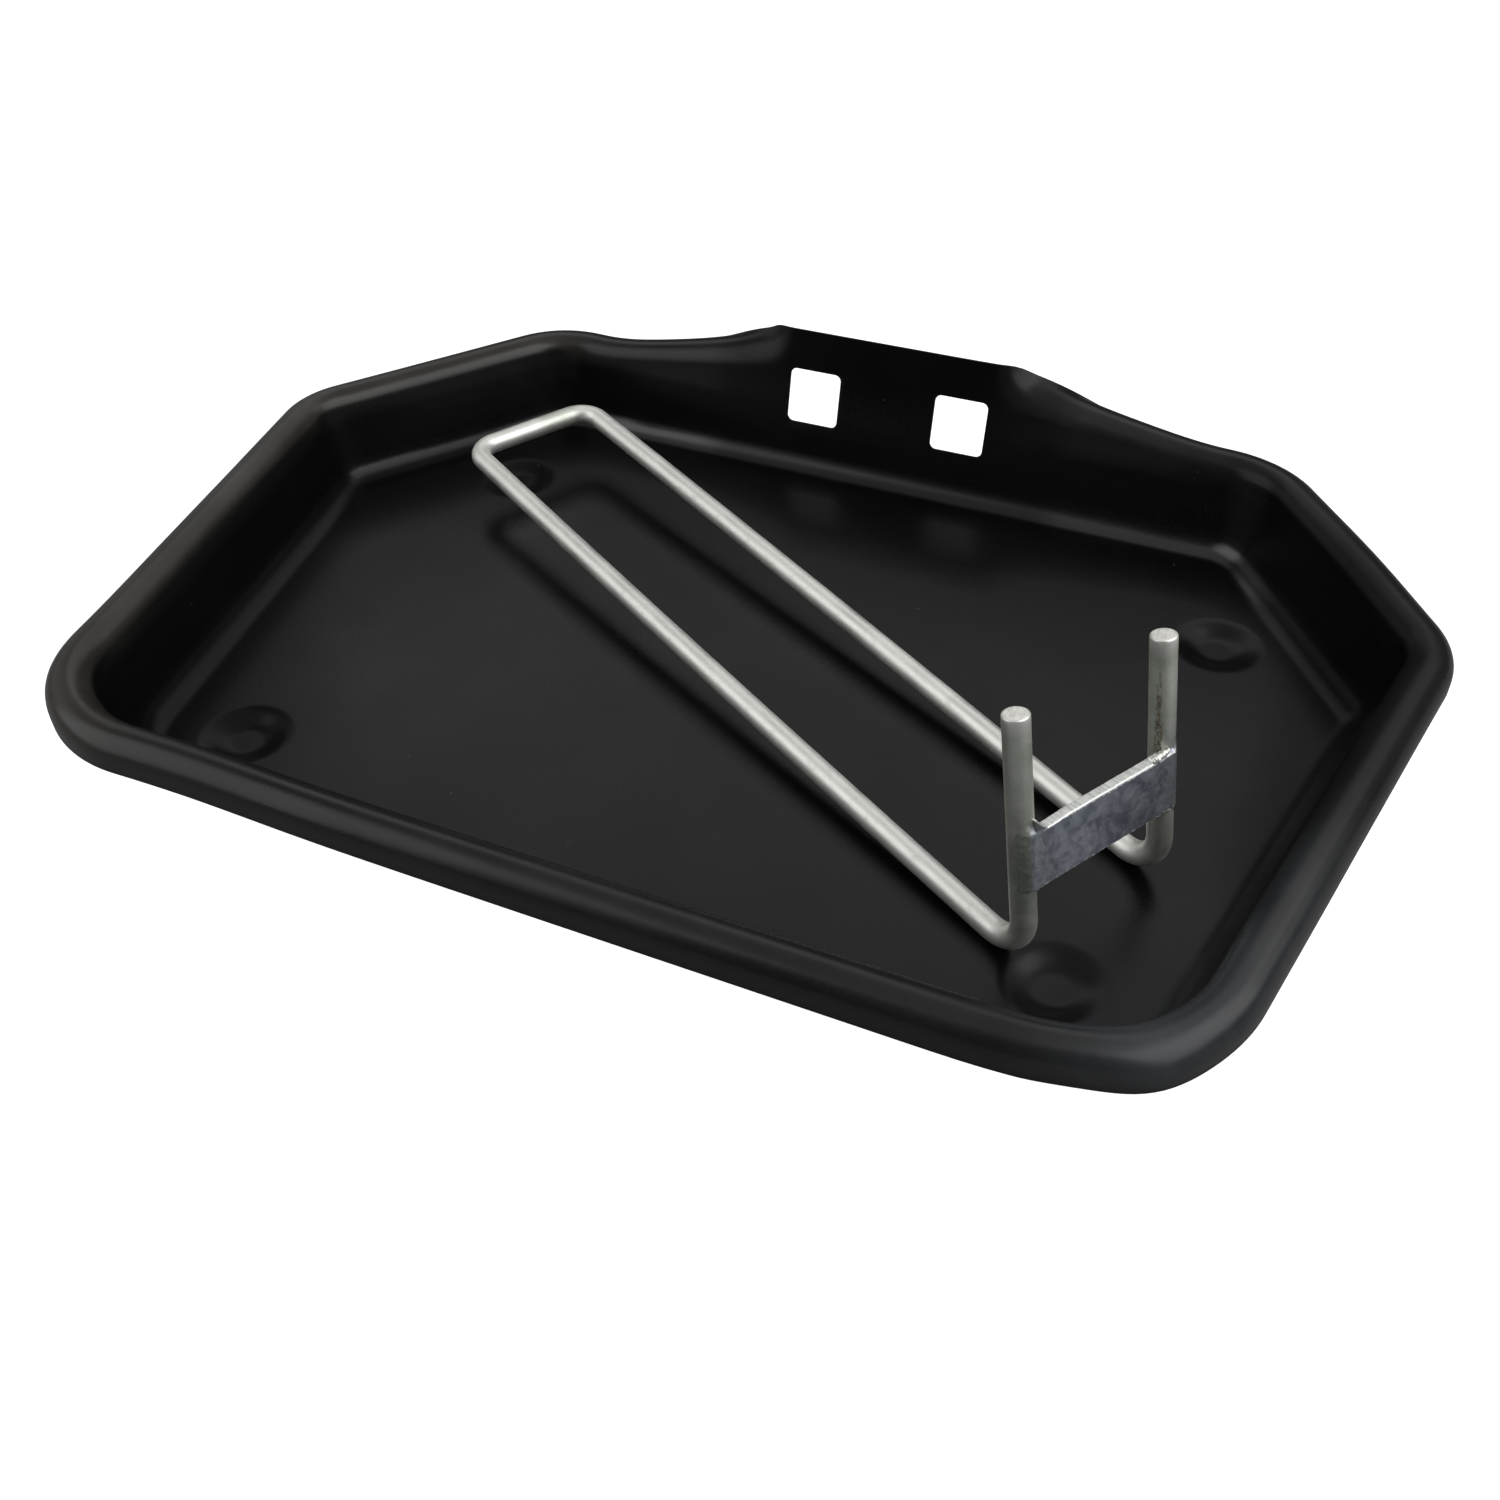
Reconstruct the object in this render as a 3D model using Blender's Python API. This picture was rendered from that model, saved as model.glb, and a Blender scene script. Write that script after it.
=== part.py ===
"""Six-sided pressed steel paint tray with a loose wire hanging bracket lying in it.

Metres, +Z up, +X to the right along the front edge, +Y towards the back edge,
where the rim stands up as a tab. The origin is under the middle of the tray,
level with the undersides of the feet.

Tray sizes are given in a tray frame: y from the front rim centre line and z from
the top of the floor. to_world() moves a point from there to the scene.
"""
import math

import bmesh
import bpy
from mathutils import Vector
from mathutils.geometry import delaunay_2d_cdt

MM = 0.001

# ---------------------------------------------------------------- tray sizes
SHEET_T = 1.0 * MM               # sheet thickness
FRONT_HALF = 165.2 * MM          # half width of the rim centre line at the front
SIDE_HALF = 200.0 * MM           # half width at the side corners
SIDE_Y = 181.9 * MM              # side corners behind the front rim centre line
BACK_HALF = 139.1 * MM           # half width at the back corners
BACK_Y = 266.6 * MM              # back rim centre line behind the front one

# Rim corners, anticlockwise from above: x, y, radius on the centre line, segments
RIM_CORNERS = (
    (-FRONT_HALF, 0.0, 43.0 * MM, 10),
    (FRONT_HALF, 0.0, 43.0 * MM, 10),
    (SIDE_HALF, SIDE_Y, 25.0 * MM, 6),
    (BACK_HALF, BACK_Y, 31.0 * MM, 7),
    (-BACK_HALF, BACK_Y, 31.0 * MM, 7),
    (-SIDE_HALF, SIDE_Y, 25.0 * MM, 6),
)

WALL_DRAFT = math.radians(13.9)  # walls lean outwards from the vertical
BEAD_R = 7.0 * MM                # outside radius of the rolled rim
BEAD_Z = 25.6 * MM               # rolled rim centre above the floor
LIP = 3.3 * MM                   # straight lip hanging from the roll
FLOOR_FILLET = 8.0 * MM          # inside radius between floor and wall
CURL_SEG = 9
FILLET_SEG = 4

# Wall line in section; "out" is the offset outwards from the rim centre line
DRAFT_SIN, DRAFT_COS = math.sin(WALL_DRAFT), math.cos(WALL_DRAFT)
ROLL_START_OUT = -BEAD_R * DRAFT_COS
ROLL_START_Z = BEAD_Z + BEAD_R * DRAFT_SIN
WALL_FOOT_OUT = ROLL_START_OUT - ROLL_START_Z * DRAFT_SIN / DRAFT_COS

TAB_FLAT = 38.5 * MM             # half width over which the rim is left unrolled
TAB_END = 123.0 * MM             # half width where the rim is fully rolled again
TAB_RISE = 8.0 * MM              # extra straight wall below the roll next to the tab
TAB_RISE_POWER = 1.8             # how the extra wall grows towards the tab
TAB_CURL_POWER = 0.6             # how the curl opens towards the tab
# Half widths of the sections along the back edge, from the right end to the middle
TAB_HALF_STATIONS = [v * MM for v in (
    118.0, 112.0, 104.0, 96.0, 88.0, 80.0, 72.0, 65.0, 58.0, 52.0, 47.0, 43.0, 40.5,
)] + [TAB_FLAT]

HOLE_SIZE = 20.0 * MM            # square holes in the back wall
HOLE_R = 2.4 * MM                # their corner radius
HOLE_CORNER_SEG = 4
HOLE_X = 28.4 * MM               # hole centres either side of the middle
HOLE_Z = 26.6 * MM               # hole centres above the floor
HOLE_CUT_IN = 4.0 * MM           # cutter reach to the inner side of the wall surface
HOLE_CUT_OUT = 5.0 * MM          # and to the outer side

FOOT_R = 14.2 * MM               # shallow dished feet pressed down from the floor
FOOT_FLAT_R = 4.5 * MM
FOOT_DEPTH = 2.5 * MM
FOOT_SEG = 24
FOOT_SHOULDER = 0.07             # first profile step, as a share of the dish width
FOOT_SHARES = (FOOT_SHOULDER, 0.3, 0.62, 1.0)
FOOT_SHOULDER_EASE = 0.5         # share of the dish depth kept at the shoulder
FOOT_INSIDE = 0.985              # share of FOOT_R within which the floor is left open
FOOT_CENTRES = (
    (-127.5 * MM, 41.0 * MM),
    (128.5 * MM, 43.0 * MM),
    (138.0 * MM, 201.5 * MM),
    (-128.0 * MM, 206.0 * MM),
)

FLOOR_Z = FOOT_DEPTH + SHEET_T   # top of the floor above the undersides of the feet

# ------------------------------------------------------------- bracket sizes
ROD_R = 7.0 * MM / 2
ROD_SEG = 20
ARM_PITCH = 49.7 * MM            # distance between the two arms and the two prongs
ARM_LEN = 294.0 * MM             # bend corner to crossbar corner
PRONG_LEN = 74.5 * MM            # bend corner to prong tip
PRONG_ANGLE = math.radians(76.8)  # between arm and prong
NEAR_BEND_R = 10.5 * MM          # arm to prong, on the centre line
FAR_BEND_R = 8.5 * MM            # arm to crossbar, on the centre line
BEND_STEP_DEG = 9.0              # turn per segment of a bend
MIN_BEND_SEG = 4
TIP_CHAMFER = 0.5 * MM

PLATE_T = 3.0 * MM               # flat bar across the prongs
PLATE_W = 17.5 * MM
PLATE_L = 50.6 * MM
PLATE_CHAMFER = 0.35 * MM
PLATE_UP = 33.2 * MM             # middle of the flat bar along the prong
PLATE_SEAT = 1.5 * MM            # inner face of the bar off the prong axes
FIT_GAP = 0.3 * MM               # gap kept between pieces that bear on each other
GROOVE_SEG = 40

WELD_R = 0.85 * MM               # bead radius
WELD_TAPER = 0.62                # share of the radius lost at the bead ends
# Angles covered round the rod, from the side facing away from the arms; positive
# is towards the other prong
WELD_FROM = math.radians(-30)
WELD_TO = math.radians(58)
WELD_STEPS = 12
WELD_SEG = 10

# Where the bracket lies in the tray: middle of its two near bend corners
# (in the tray frame), its heading and its tilt.
LIE_X = 132.1 * MM
LIE_Y = 66.9 * MM
LIE_HEADING = math.radians(150.5)
LIE_TILT = math.radians(3.0)


# ------------------------------------------------------------- scene helpers
def clear_scene():
    for ob in list(bpy.data.objects):
        bpy.data.objects.remove(ob, do_unlink=True)
    for mesh in list(bpy.data.meshes):
        bpy.data.meshes.remove(mesh)
    for mat in list(bpy.data.materials):
        bpy.data.materials.remove(mat)


def material(name, colour, metallic, roughness):
    mat = bpy.data.materials.new(name)
    mat.use_nodes = True
    bsdf = mat.node_tree.nodes["Principled BSDF"]
    bsdf.inputs["Base Color"].default_value = (*colour, 1.0)
    bsdf.inputs["Metallic"].default_value = metallic
    bsdf.inputs["Roughness"].default_value = roughness
    mat.diffuse_color = (*colour, 1.0)
    return mat


def add_object(name, verts, faces, mat, origin=(0.0, 0.0, 0.0), smooth_angle=40.0):
    """Mesh object from scene coordinates, shaded smooth below smooth_angle degrees."""
    ox, oy, oz = origin
    mesh = bpy.data.meshes.new(name)
    mesh.from_pydata([(x - ox, y - oy, z - oz) for x, y, z in verts], [], faces)
    bm = bmesh.new()
    bm.from_mesh(mesh)
    bmesh.ops.recalc_face_normals(bm, faces=bm.faces)
    bm.to_mesh(mesh)
    bm.free()
    if mat is not None:
        mesh.materials.append(mat)
    for poly in mesh.polygons:
        poly.use_smooth = True
    mesh.set_sharp_from_angle(angle=math.radians(smooth_angle))
    mesh.update()
    ob = bpy.data.objects.new(name, mesh)
    ob.location = origin
    bpy.context.scene.collection.objects.link(ob)
    return ob


def cut_with(target, name, verts, faces, origin=(0.0, 0.0, 0.0)):
    """Add a hidden cutter and subtract it from the target."""
    cutter = add_object(name, verts, faces, None, origin)
    cutter.hide_render = True
    cutter.display_type = "WIRE"
    mod = target.modifiers.new(cutter.name, "BOOLEAN")
    mod.operation = "DIFFERENCE"
    mod.solver = "EXACT"
    mod.object = cutter


# -------------------------------------------------------------- mesh helpers
def add_ring(verts, points):
    """Append points to verts and return their indices."""
    start = len(verts)
    verts += points
    return list(range(start, len(verts)))


def band(lower, upper, flip=False):
    """Quads between two closed rings of equal length."""
    faces = []
    for k in range(len(lower)):
        t = (k + 1) % len(lower)
        quad = (lower[k], lower[t], upper[t], upper[k])
        faces.append(quad[::-1] if flip else quad)
    return faces


def prism(outline, low_shift, high_shift):
    """Closed prism between two shifted copies of an outline."""
    verts = [p + shift for shift in (low_shift, high_shift) for p in outline]
    n = len(outline)
    faces = [tuple(range(n)), tuple(range(2 * n - 1, n - 1, -1))]
    for k in range(n):
        t = (k + 1) % n
        faces.append((k, k + n, t + n, t))
    return verts, faces


def fillet_path(points, radii):
    """Polyline with its inner corners rounded, one radius per inner corner."""
    path = [points[0]]
    for before, corner, after, radius in zip(points, points[1:], points[2:], radii):
        to_before = (before - corner).normalized()
        to_after = (after - corner).normalized()
        angle = to_before.angle(to_after)
        tangent_len = radius / math.tan(angle / 2)
        bisector = (to_before + to_after).normalized()
        centre = corner + bisector * (radius / math.sin(angle / 2))
        arc_start = corner + to_before * tangent_len
        arc_end = corner + to_after * tangent_len
        start_dir = (arc_start - centre).normalized()
        side_dir = arc_end - centre
        side_dir = (side_dir - start_dir * side_dir.dot(start_dir)).normalized()
        turn = math.pi - angle
        steps = max(MIN_BEND_SEG, int(round(math.degrees(turn) / BEND_STEP_DEG)))
        for k in range(steps + 1):
            a = turn * k / steps
            path.append(centre + (start_dir * math.cos(a) + side_dir * math.sin(a)) * radius)
    path.append(points[-1])
    return path


def sweep(path, radii, seg, start_ref):
    """Closed round bar along a path, one radius per path point."""
    verts, rings = [], []
    ref = start_ref
    last = len(path) - 1
    for i, p in enumerate(path):
        if i == 0:
            tangent = (path[1] - path[0]).normalized()
        elif i == last:
            tangent = (path[-1] - path[-2]).normalized()
        else:
            arriving = (p - path[i - 1]).normalized()
            leaving = (path[i + 1] - p).normalized()
            tangent = (arriving + leaving).normalized()
        ref = (ref - tangent * ref.dot(tangent)).normalized()
        side = tangent.cross(ref)
        angles = [2 * math.pi * j / seg for j in range(seg)]
        rings.append(add_ring(verts, [
            p + (ref * math.cos(a) + side * math.sin(a)) * radii[i] for a in angles]))
    faces = []
    for lower, upper in zip(rings, rings[1:]):
        faces += band(lower, upper)
    faces.append(tuple(reversed(rings[0])))
    faces.append(tuple(rings[-1]))
    return verts, faces


# ------------------------------------------------------------------ tray
def roll_at(x):
    """How the rim strip stands at x on the back edge: the length left straight
    above the usual start of the roll, and the share of full curl in the rest."""
    half = abs(x)
    if half <= TAB_FLAT:
        return TAB_RISE, 0.0
    if half >= TAB_END:
        return 0.0, 1.0
    u = (TAB_END - half) / (TAB_END - TAB_FLAT)
    rise = 0.5 * u ** TAB_RISE_POWER + 0.5 * (3 * u * u - 2 * u ** 3)
    return TAB_RISE * rise, (1.0 - u * u) ** TAB_CURL_POWER


def rim_stations():
    """Points round the rim centre line: (x, y, outward normal x and y, roll)."""
    stations = []
    count = len(RIM_CORNERS)
    for i, (corner_x, corner_y, radius, seg) in enumerate(RIM_CORNERS):
        before = Vector(RIM_CORNERS[i - 1][:2])
        corner = Vector((corner_x, corner_y))
        after = Vector(RIM_CORNERS[(i + 1) % count][:2])
        dir_in = (corner - before).normalized()
        dir_out = (after - corner).normalized()
        turn = dir_in.angle(dir_out)
        inward = (dir_out - dir_in).normalized()
        centre = corner + inward * (radius / math.cos(turn / 2))
        for k in range(seg + 1):
            # outward normal of the incoming edge, turned through the corner
            a = turn * k / seg
            nx = dir_in.y * math.cos(a) + dir_in.x * math.sin(a)
            ny = -dir_in.x * math.cos(a) + dir_in.y * math.sin(a)
            stations.append((centre.x + radius * nx, centre.y + radius * ny,
                             nx, ny, (0.0, 1.0)))
        if (corner_x, corner_y) == (BACK_HALF, BACK_Y):
            # the straight back edge follows, from right to left
            left_xs = [-x for x in reversed(TAB_HALF_STATIONS)]
            for x in TAB_HALF_STATIONS + [0.0] + left_xs:
                stations.append((x, BACK_Y, 0.0, 1.0, roll_at(x)))
    return stations


def sheet_profile(roll):
    """Section through floor edge, wall and rim: (offset, z) pairs for the
    inside surface and for the underside, floor edge first, lip last."""
    top, under = [], []
    fillet_out = WALL_FOOT_OUT - FLOOR_FILLET * (1.0 - DRAFT_SIN) / DRAFT_COS
    for k in range(FILLET_SEG + 1):
        a = -math.pi / 2 + (math.pi / 2 - WALL_DRAFT) * k / FILLET_SEG
        for side, radius in ((top, FLOOR_FILLET), (under, FLOOR_FILLET + SHEET_T)):
            side.append((fillet_out + radius * math.cos(a),
                         FLOOR_FILLET + radius * math.sin(a)))

    def add_pair(x, z, heading):
        top.append((x, z))
        under.append((x + SHEET_T * math.sin(heading), z - SHEET_T * math.cos(heading)))

    # rim strip of constant length, curled over the roll radius or left straight
    straight, curl_share = roll
    heading = math.pi / 2 - WALL_DRAFT
    x = ROLL_START_OUT + straight * math.cos(heading)
    z = ROLL_START_Z + straight * math.sin(heading)
    add_pair(x, z, heading)
    step = ((math.pi - WALL_DRAFT) * BEAD_R - straight) / CURL_SEG
    turn = curl_share * step / BEAD_R
    if turn > 1e-6:
        chord = 2 * (step / turn) * math.sin(turn / 2)
    else:
        chord = step
    for _ in range(CURL_SEG):
        chord_heading = heading - turn / 2
        x += chord * math.cos(chord_heading)
        z += chord * math.sin(chord_heading)
        heading -= turn
        add_pair(x, z, heading)
    add_pair(x + LIP * math.cos(heading), z + LIP * math.sin(heading), heading)
    return top, under


def depth_middle():
    """Middle of the tray from front to back, in the tray frame."""
    ys = []
    for _x, y, _nx, ny, roll in rim_stations():
        ys += [y + out * ny for out, _z in sheet_profile(roll)[0]]
    return (min(ys) + max(ys)) / 2


ORIGIN_Y = depth_middle()


def to_world(x, y, z):
    return (x, y - ORIGIN_Y, z + FLOOR_Z)


def foot_profile():
    """(radius, z) pairs for the top and underside of a pressed foot, rim first."""
    top = [(FOOT_R, 0.0)]
    for share in FOOT_SHARES:
        dish = 1.0 - (1.0 - share) ** 2
        if share == FOOT_SHOULDER:
            dish *= FOOT_SHOULDER_EASE
        top.append((FOOT_R + (FOOT_FLAT_R - FOOT_R) * share, -FOOT_DEPTH * dish))
    under = []
    for i, (radius, z) in enumerate(top):
        if i == 0 or i == len(top) - 1:
            normal_r, normal_z = 0.0, -1.0
        else:
            dr = top[i + 1][0] - top[i - 1][0]
            dz = top[i + 1][1] - top[i - 1][1]
            length = math.hypot(dr, dz)
            normal_r, normal_z = -dz / length, dr / length
        under.append((radius + SHEET_T * normal_r, z + SHEET_T * normal_z))
    return top, under


def add_foot_surface(verts, faces, centre, profile, facing_up):
    """One surface of a foot; returns its rim ring."""
    cx, cy = centre
    angles = [2 * math.pi * j / FOOT_SEG for j in range(FOOT_SEG)]
    rings = []
    for radius, z in profile:
        rings.append(add_ring(verts, [
            to_world(cx + radius * math.cos(a), cy + radius * math.sin(a), z)
            for a in angles]))
    for outer, inner in zip(rings, rings[1:]):
        faces += band(inner, outer, flip=facing_up)
    hub = len(verts)
    verts.append(to_world(cx, cy, profile[-1][1]))
    for j in range(FOOT_SEG):
        tri = (rings[-1][j], rings[-1][(j + 1) % FOOT_SEG], hub)
        faces.append(tri if facing_up else tri[::-1])
    return rings[0]


def fill_floor(verts, outer, foot_rims, facing_up):
    """Flat floor between the outer ring and the foot rims."""
    indices, edges = [], []
    for loop in [outer] + foot_rims:
        base = len(indices)
        indices += loop
        edges += [(base + k, base + (k + 1) % len(loop)) for k in range(len(loop))]
    points = [Vector(verts[i][:2]) for i in indices]
    # output type 1 keeps the triangles inside the outer ring
    triangles = delaunay_2d_cdt(points, edges, [], 1, 1e-9)[2]
    faces = []
    for tri in triangles:
        mid_x = sum(points[k].x for k in tri) / 3
        mid_y = sum(points[k].y for k in tri) / 3
        if any(math.hypot(mid_x - cx, mid_y - (cy - ORIGIN_Y)) < FOOT_R * FOOT_INSIDE
               for cx, cy in FOOT_CENTRES):
            continue
        a, b, c = (indices[k] for k in tri)
        area = ((verts[b][0] - verts[a][0]) * (verts[c][1] - verts[a][1])
                - (verts[c][0] - verts[a][0]) * (verts[b][1] - verts[a][1]))
        if (area > 0) != facing_up:
            b, c = c, b
        faces.append((a, b, c))
    return faces


def profile_rings(verts, stations, profiles):
    """One ring round the tray for each point of the section."""
    rings = []
    for level in range(len(profiles[0])):
        points = []
        for (x, y, nx, ny, _roll), profile in zip(stations, profiles):
            out, z = profile[level]
            points.append(to_world(x + out * nx, y + out * ny, z))
        rings.append(add_ring(verts, points))
    return rings


def build_tray(mat):
    stations = rim_stations()
    tops, unders = zip(*(sheet_profile(roll) for *_place, roll in stations))
    verts, faces = [], []
    top_rings = profile_rings(verts, stations, tops)
    under_rings = profile_rings(verts, stations, unders)
    for k in range(len(top_rings) - 1):
        faces += band(top_rings[k], top_rings[k + 1], flip=True)
        faces += band(under_rings[k], under_rings[k + 1])
    faces += band(top_rings[-1], under_rings[-1], flip=True)

    foot_top, foot_under = foot_profile()
    top_rims, under_rims = [], []
    for centre in FOOT_CENTRES:
        top_rims.append(add_foot_surface(verts, faces, centre, foot_top, True))
        under_rims.append(add_foot_surface(verts, faces, centre, foot_under, False))
    faces += fill_floor(verts, top_rings[0], top_rims, True)
    faces += fill_floor(verts, under_rings[0], under_rims, False)
    return add_object("tray_pan", verts, faces, mat, smooth_angle=35.0)


def cut_hole(tray, name, hole_x):
    """Rounded square hole through the back wall, square to the wall."""
    wall_y = BACK_Y + WALL_FOOT_OUT + HOLE_Z * DRAFT_SIN / DRAFT_COS
    centre = Vector((hole_x, wall_y, HOLE_Z))
    up = Vector((0.0, DRAFT_SIN, DRAFT_COS))
    out = Vector((0.0, DRAFT_COS, -DRAFT_SIN))
    reach = HOLE_SIZE / 2 - HOLE_R
    outline = []
    for quarter, (sx, sz) in enumerate(((1, 1), (-1, 1), (-1, -1), (1, -1))):
        for k in range(HOLE_CORNER_SEG + 1):
            a = 0.5 * math.pi * (quarter + k / HOLE_CORNER_SEG)
            across = Vector((sx * reach + HOLE_R * math.cos(a), 0.0, 0.0))
            outline.append(centre + across + up * (sz * reach + HOLE_R * math.sin(a)))
    verts, faces = prism(outline, out * -HOLE_CUT_IN, out * HOLE_CUT_OUT)
    cut_with(tray, name, [to_world(*p) for p in verts], faces)


# ------------------------------------------------------------------ bracket
def lie_axes():
    """Directions of the lying bracket: along the arms, across from the left prong
    to the right one, up the prongs, and square to the prongs away from the arms."""
    arm = Vector((math.cos(LIE_HEADING) * math.cos(LIE_TILT),
                  math.sin(LIE_HEADING) * math.cos(LIE_TILT), math.sin(LIE_TILT)))
    across = Vector((-math.sin(LIE_HEADING), math.cos(LIE_HEADING), 0.0))
    normal = arm.cross(across)
    prong = arm * math.cos(PRONG_ANGLE) + normal * math.sin(PRONG_ANGLE)
    out = (prong * arm.dot(prong) - arm).normalized()
    return arm, across, prong, out


ARM, ACROSS, PRONG, OUT = lie_axes()


def bracket_base():
    """Middle of the near bend corners, set so the bends just clear the floor."""
    path = fillet_path([PRONG * PRONG_LEN, Vector((0, 0, 0)), ARM * ARM_LEN], [NEAR_BEND_R])
    low = min(p.z for p in path)
    return Vector((LIE_X, LIE_Y - ORIGIN_Y, FLOOR_Z + ROD_R + FIT_GAP - low))


BASE = bracket_base()
BRACKET_ORIGIN = tuple(BASE)
# Near bend corners; as the bracket lies, the left one is nearer the tray's back edge
LEFT = BASE - ACROSS * (ARM_PITCH / 2)
RIGHT = BASE + ACROSS * (ARM_PITCH / 2)


def build_rod(mat):
    """Bent rod: prong, arm, crossbar, arm, prong."""
    corners = [
        LEFT + PRONG * PRONG_LEN,
        LEFT,
        LEFT + ARM * ARM_LEN,
        RIGHT + ARM * ARM_LEN,
        RIGHT,
        RIGHT + PRONG * PRONG_LEN,
    ]
    path = fillet_path(corners, [NEAR_BEND_R, FAR_BEND_R, FAR_BEND_R, NEAR_BEND_R])
    # lightly chamfered prong ends
    start_dir = (path[1] - path[0]).normalized()
    end_dir = (path[-1] - path[-2]).normalized()
    path.insert(1, path[0] + start_dir * TIP_CHAMFER)
    path.insert(-1, path[-1] - end_dir * TIP_CHAMFER)
    tip_r = ROD_R - TIP_CHAMFER
    radii = [tip_r] + [ROD_R] * (len(path) - 2) + [tip_r]
    verts, faces = sweep(path, radii, ROD_SEG, ACROSS)
    add_object("bracket_rod", verts, faces, mat, BRACKET_ORIGIN, 35.0)


def build_plate(mat):
    """Flat bar, seated over both prongs with shallow grooves."""
    middle = BASE + PRONG * PLATE_UP + OUT * (PLATE_SEAT + PLATE_T / 2)
    outline = []
    for sx, sy in ((1, 1), (-1, 1), (-1, -1), (1, -1)):
        corner = ACROSS * (sx * PLATE_L / 2) + PRONG * (sy * PLATE_W / 2)
        pair = [middle + corner - ACROSS * (sx * PLATE_CHAMFER),
                middle + corner - PRONG * (sy * PLATE_CHAMFER)]
        if sx * sy > 0:
            pair.reverse()
        outline += pair
    half_t = OUT * (PLATE_T / 2)
    verts, faces = prism(outline, -half_t, half_t)
    plate = add_object("cross_plate", verts, faces, mat, BRACKET_ORIGIN, 30.0)
    for tag, corner in (("left", LEFT), ("right", RIGHT)):
        ends = [corner + PRONG * (PLATE_UP - PLATE_W), corner + PRONG * (PLATE_UP + PLATE_W)]
        verts, faces = sweep(ends, [ROD_R + FIT_GAP] * 2, GROOVE_SEG, OUT)
        cut_with(plate, "cut_groove_" + tag, verts, faces, BRACKET_ORIGIN)


def build_weld(name, mat, centre, inward):
    """Weld bead round part of the rod, thinner at its ends."""
    bead_path_r = ROD_R + FIT_GAP + WELD_R
    path, radii = [], []
    for k in range(WELD_STEPS + 1):
        u = -1.0 + 2.0 * k / WELD_STEPS
        a = inward * (WELD_FROM + (WELD_TO - WELD_FROM) * k / WELD_STEPS)
        path.append(centre + (OUT * math.cos(a) + ACROSS * math.sin(a)) * bead_path_r)
        radii.append(WELD_R * (1.0 - WELD_TAPER * u ** 4))
    verts, faces = sweep(path, radii, WELD_SEG, PRONG)
    add_object(name, verts, faces, mat, BRACKET_ORIGIN, 50.0)


def build_welds(mat):
    """Beads on both prongs, along the top and bottom edges of the flat bar."""
    for tag, corner, inward in (("left", LEFT, 1.0), ("right", RIGHT, -1.0)):
        for level, sign in (("top", 1.0), ("bottom", -1.0)):
            along = PLATE_UP + sign * (PLATE_W / 2 + FIT_GAP + WELD_R)
            build_weld(f"weld_{tag}_{level}", mat, corner + PRONG * along, inward)


def main():
    clear_scene()
    black = material("tray_black_paint", colour=(0.022, 0.022, 0.022),
                     metallic=0.0, roughness=0.38)
    zinc = material("zinc_rod", colour=(0.62, 0.61, 0.58), metallic=1.0, roughness=0.42)
    bar = material("bar_steel", colour=(0.16, 0.17, 0.20), metallic=1.0, roughness=0.5)
    weld = material("weld_steel", colour=(0.30, 0.28, 0.25), metallic=1.0, roughness=0.55)
    tray = build_tray(black)
    cut_hole(tray, "cut_hole_left", -HOLE_X)
    cut_hole(tray, "cut_hole_right", HOLE_X)
    build_rod(zinc)
    build_plate(bar)
    build_welds(weld)


main()
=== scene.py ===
"""Looks of a six-sided pressed steel paint tray with a wire hanging bracket lying loose in it.

x runs across the tray, left to right; y runs from the front edge to the back edge, which
carries the tab; z is up, and the four dished feet stand on z = 0. The bracket lies from the
front right to the back left: its two arms are joined by a crossbar at the far end, and its
two prongs stand up at the near end, joined by a welded flat bar.
"""
import math
from contextlib import contextmanager

import bmesh
import bpy
from mathutils import Matrix, Vector, noise
from mathutils.geometry import delaunay_2d_cdt


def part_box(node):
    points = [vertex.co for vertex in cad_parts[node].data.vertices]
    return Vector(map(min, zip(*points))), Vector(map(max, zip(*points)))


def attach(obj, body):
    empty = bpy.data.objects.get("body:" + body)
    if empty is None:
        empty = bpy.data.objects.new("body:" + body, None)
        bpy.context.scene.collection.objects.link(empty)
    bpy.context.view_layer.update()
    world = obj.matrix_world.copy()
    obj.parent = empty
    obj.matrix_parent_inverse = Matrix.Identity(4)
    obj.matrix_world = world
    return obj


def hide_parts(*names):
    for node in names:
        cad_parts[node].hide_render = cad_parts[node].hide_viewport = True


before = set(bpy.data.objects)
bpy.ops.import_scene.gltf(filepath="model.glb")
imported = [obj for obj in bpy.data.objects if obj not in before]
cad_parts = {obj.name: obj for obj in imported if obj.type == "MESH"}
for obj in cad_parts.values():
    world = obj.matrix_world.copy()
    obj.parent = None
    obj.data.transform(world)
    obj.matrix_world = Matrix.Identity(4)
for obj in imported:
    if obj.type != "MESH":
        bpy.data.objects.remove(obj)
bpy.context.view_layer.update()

MM = 0.001

# ------------------------------------------------------------------ tray sizes
SHEET_T = 1.0 * MM
# corners of the rim's centre line, y measured from its front edge
FRONT_HALF = 165.2 * MM
SIDE_HALF = 200.0 * MM
SIDE_Y = 181.9 * MM
BACK_HALF = 139.1 * MM
BACK_Y = 266.6 * MM
FRONT_R = 43.0 * MM
SIDE_R = 25.0 * MM
BACK_R = 31.0 * MM
WALL_DRAFT = math.radians(13.9)
BEAD_R = 7.0 * MM               # rolled rim
BEAD_Z = 25.6 * MM
LIP = 3.3 * MM
FLOOR_FILLET = 8.0 * MM
TAB_FLAT = 38.5 * MM            # half width of the unrolled tab
TAB_END = 123.0 * MM            # where the rim is fully rolled again
TAB_RISE = 8.0 * MM
ROLL_EASE = 13.0 * MM
HOLE_SIZE = 20.0 * MM
HOLE_R = 2.4 * MM
HOLE_X = 28.4 * MM
HOLE_Z = 26.6 * MM
FOOT_R = 14.2 * MM
FOOT_FLAT_R = 4.5 * MM
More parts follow.
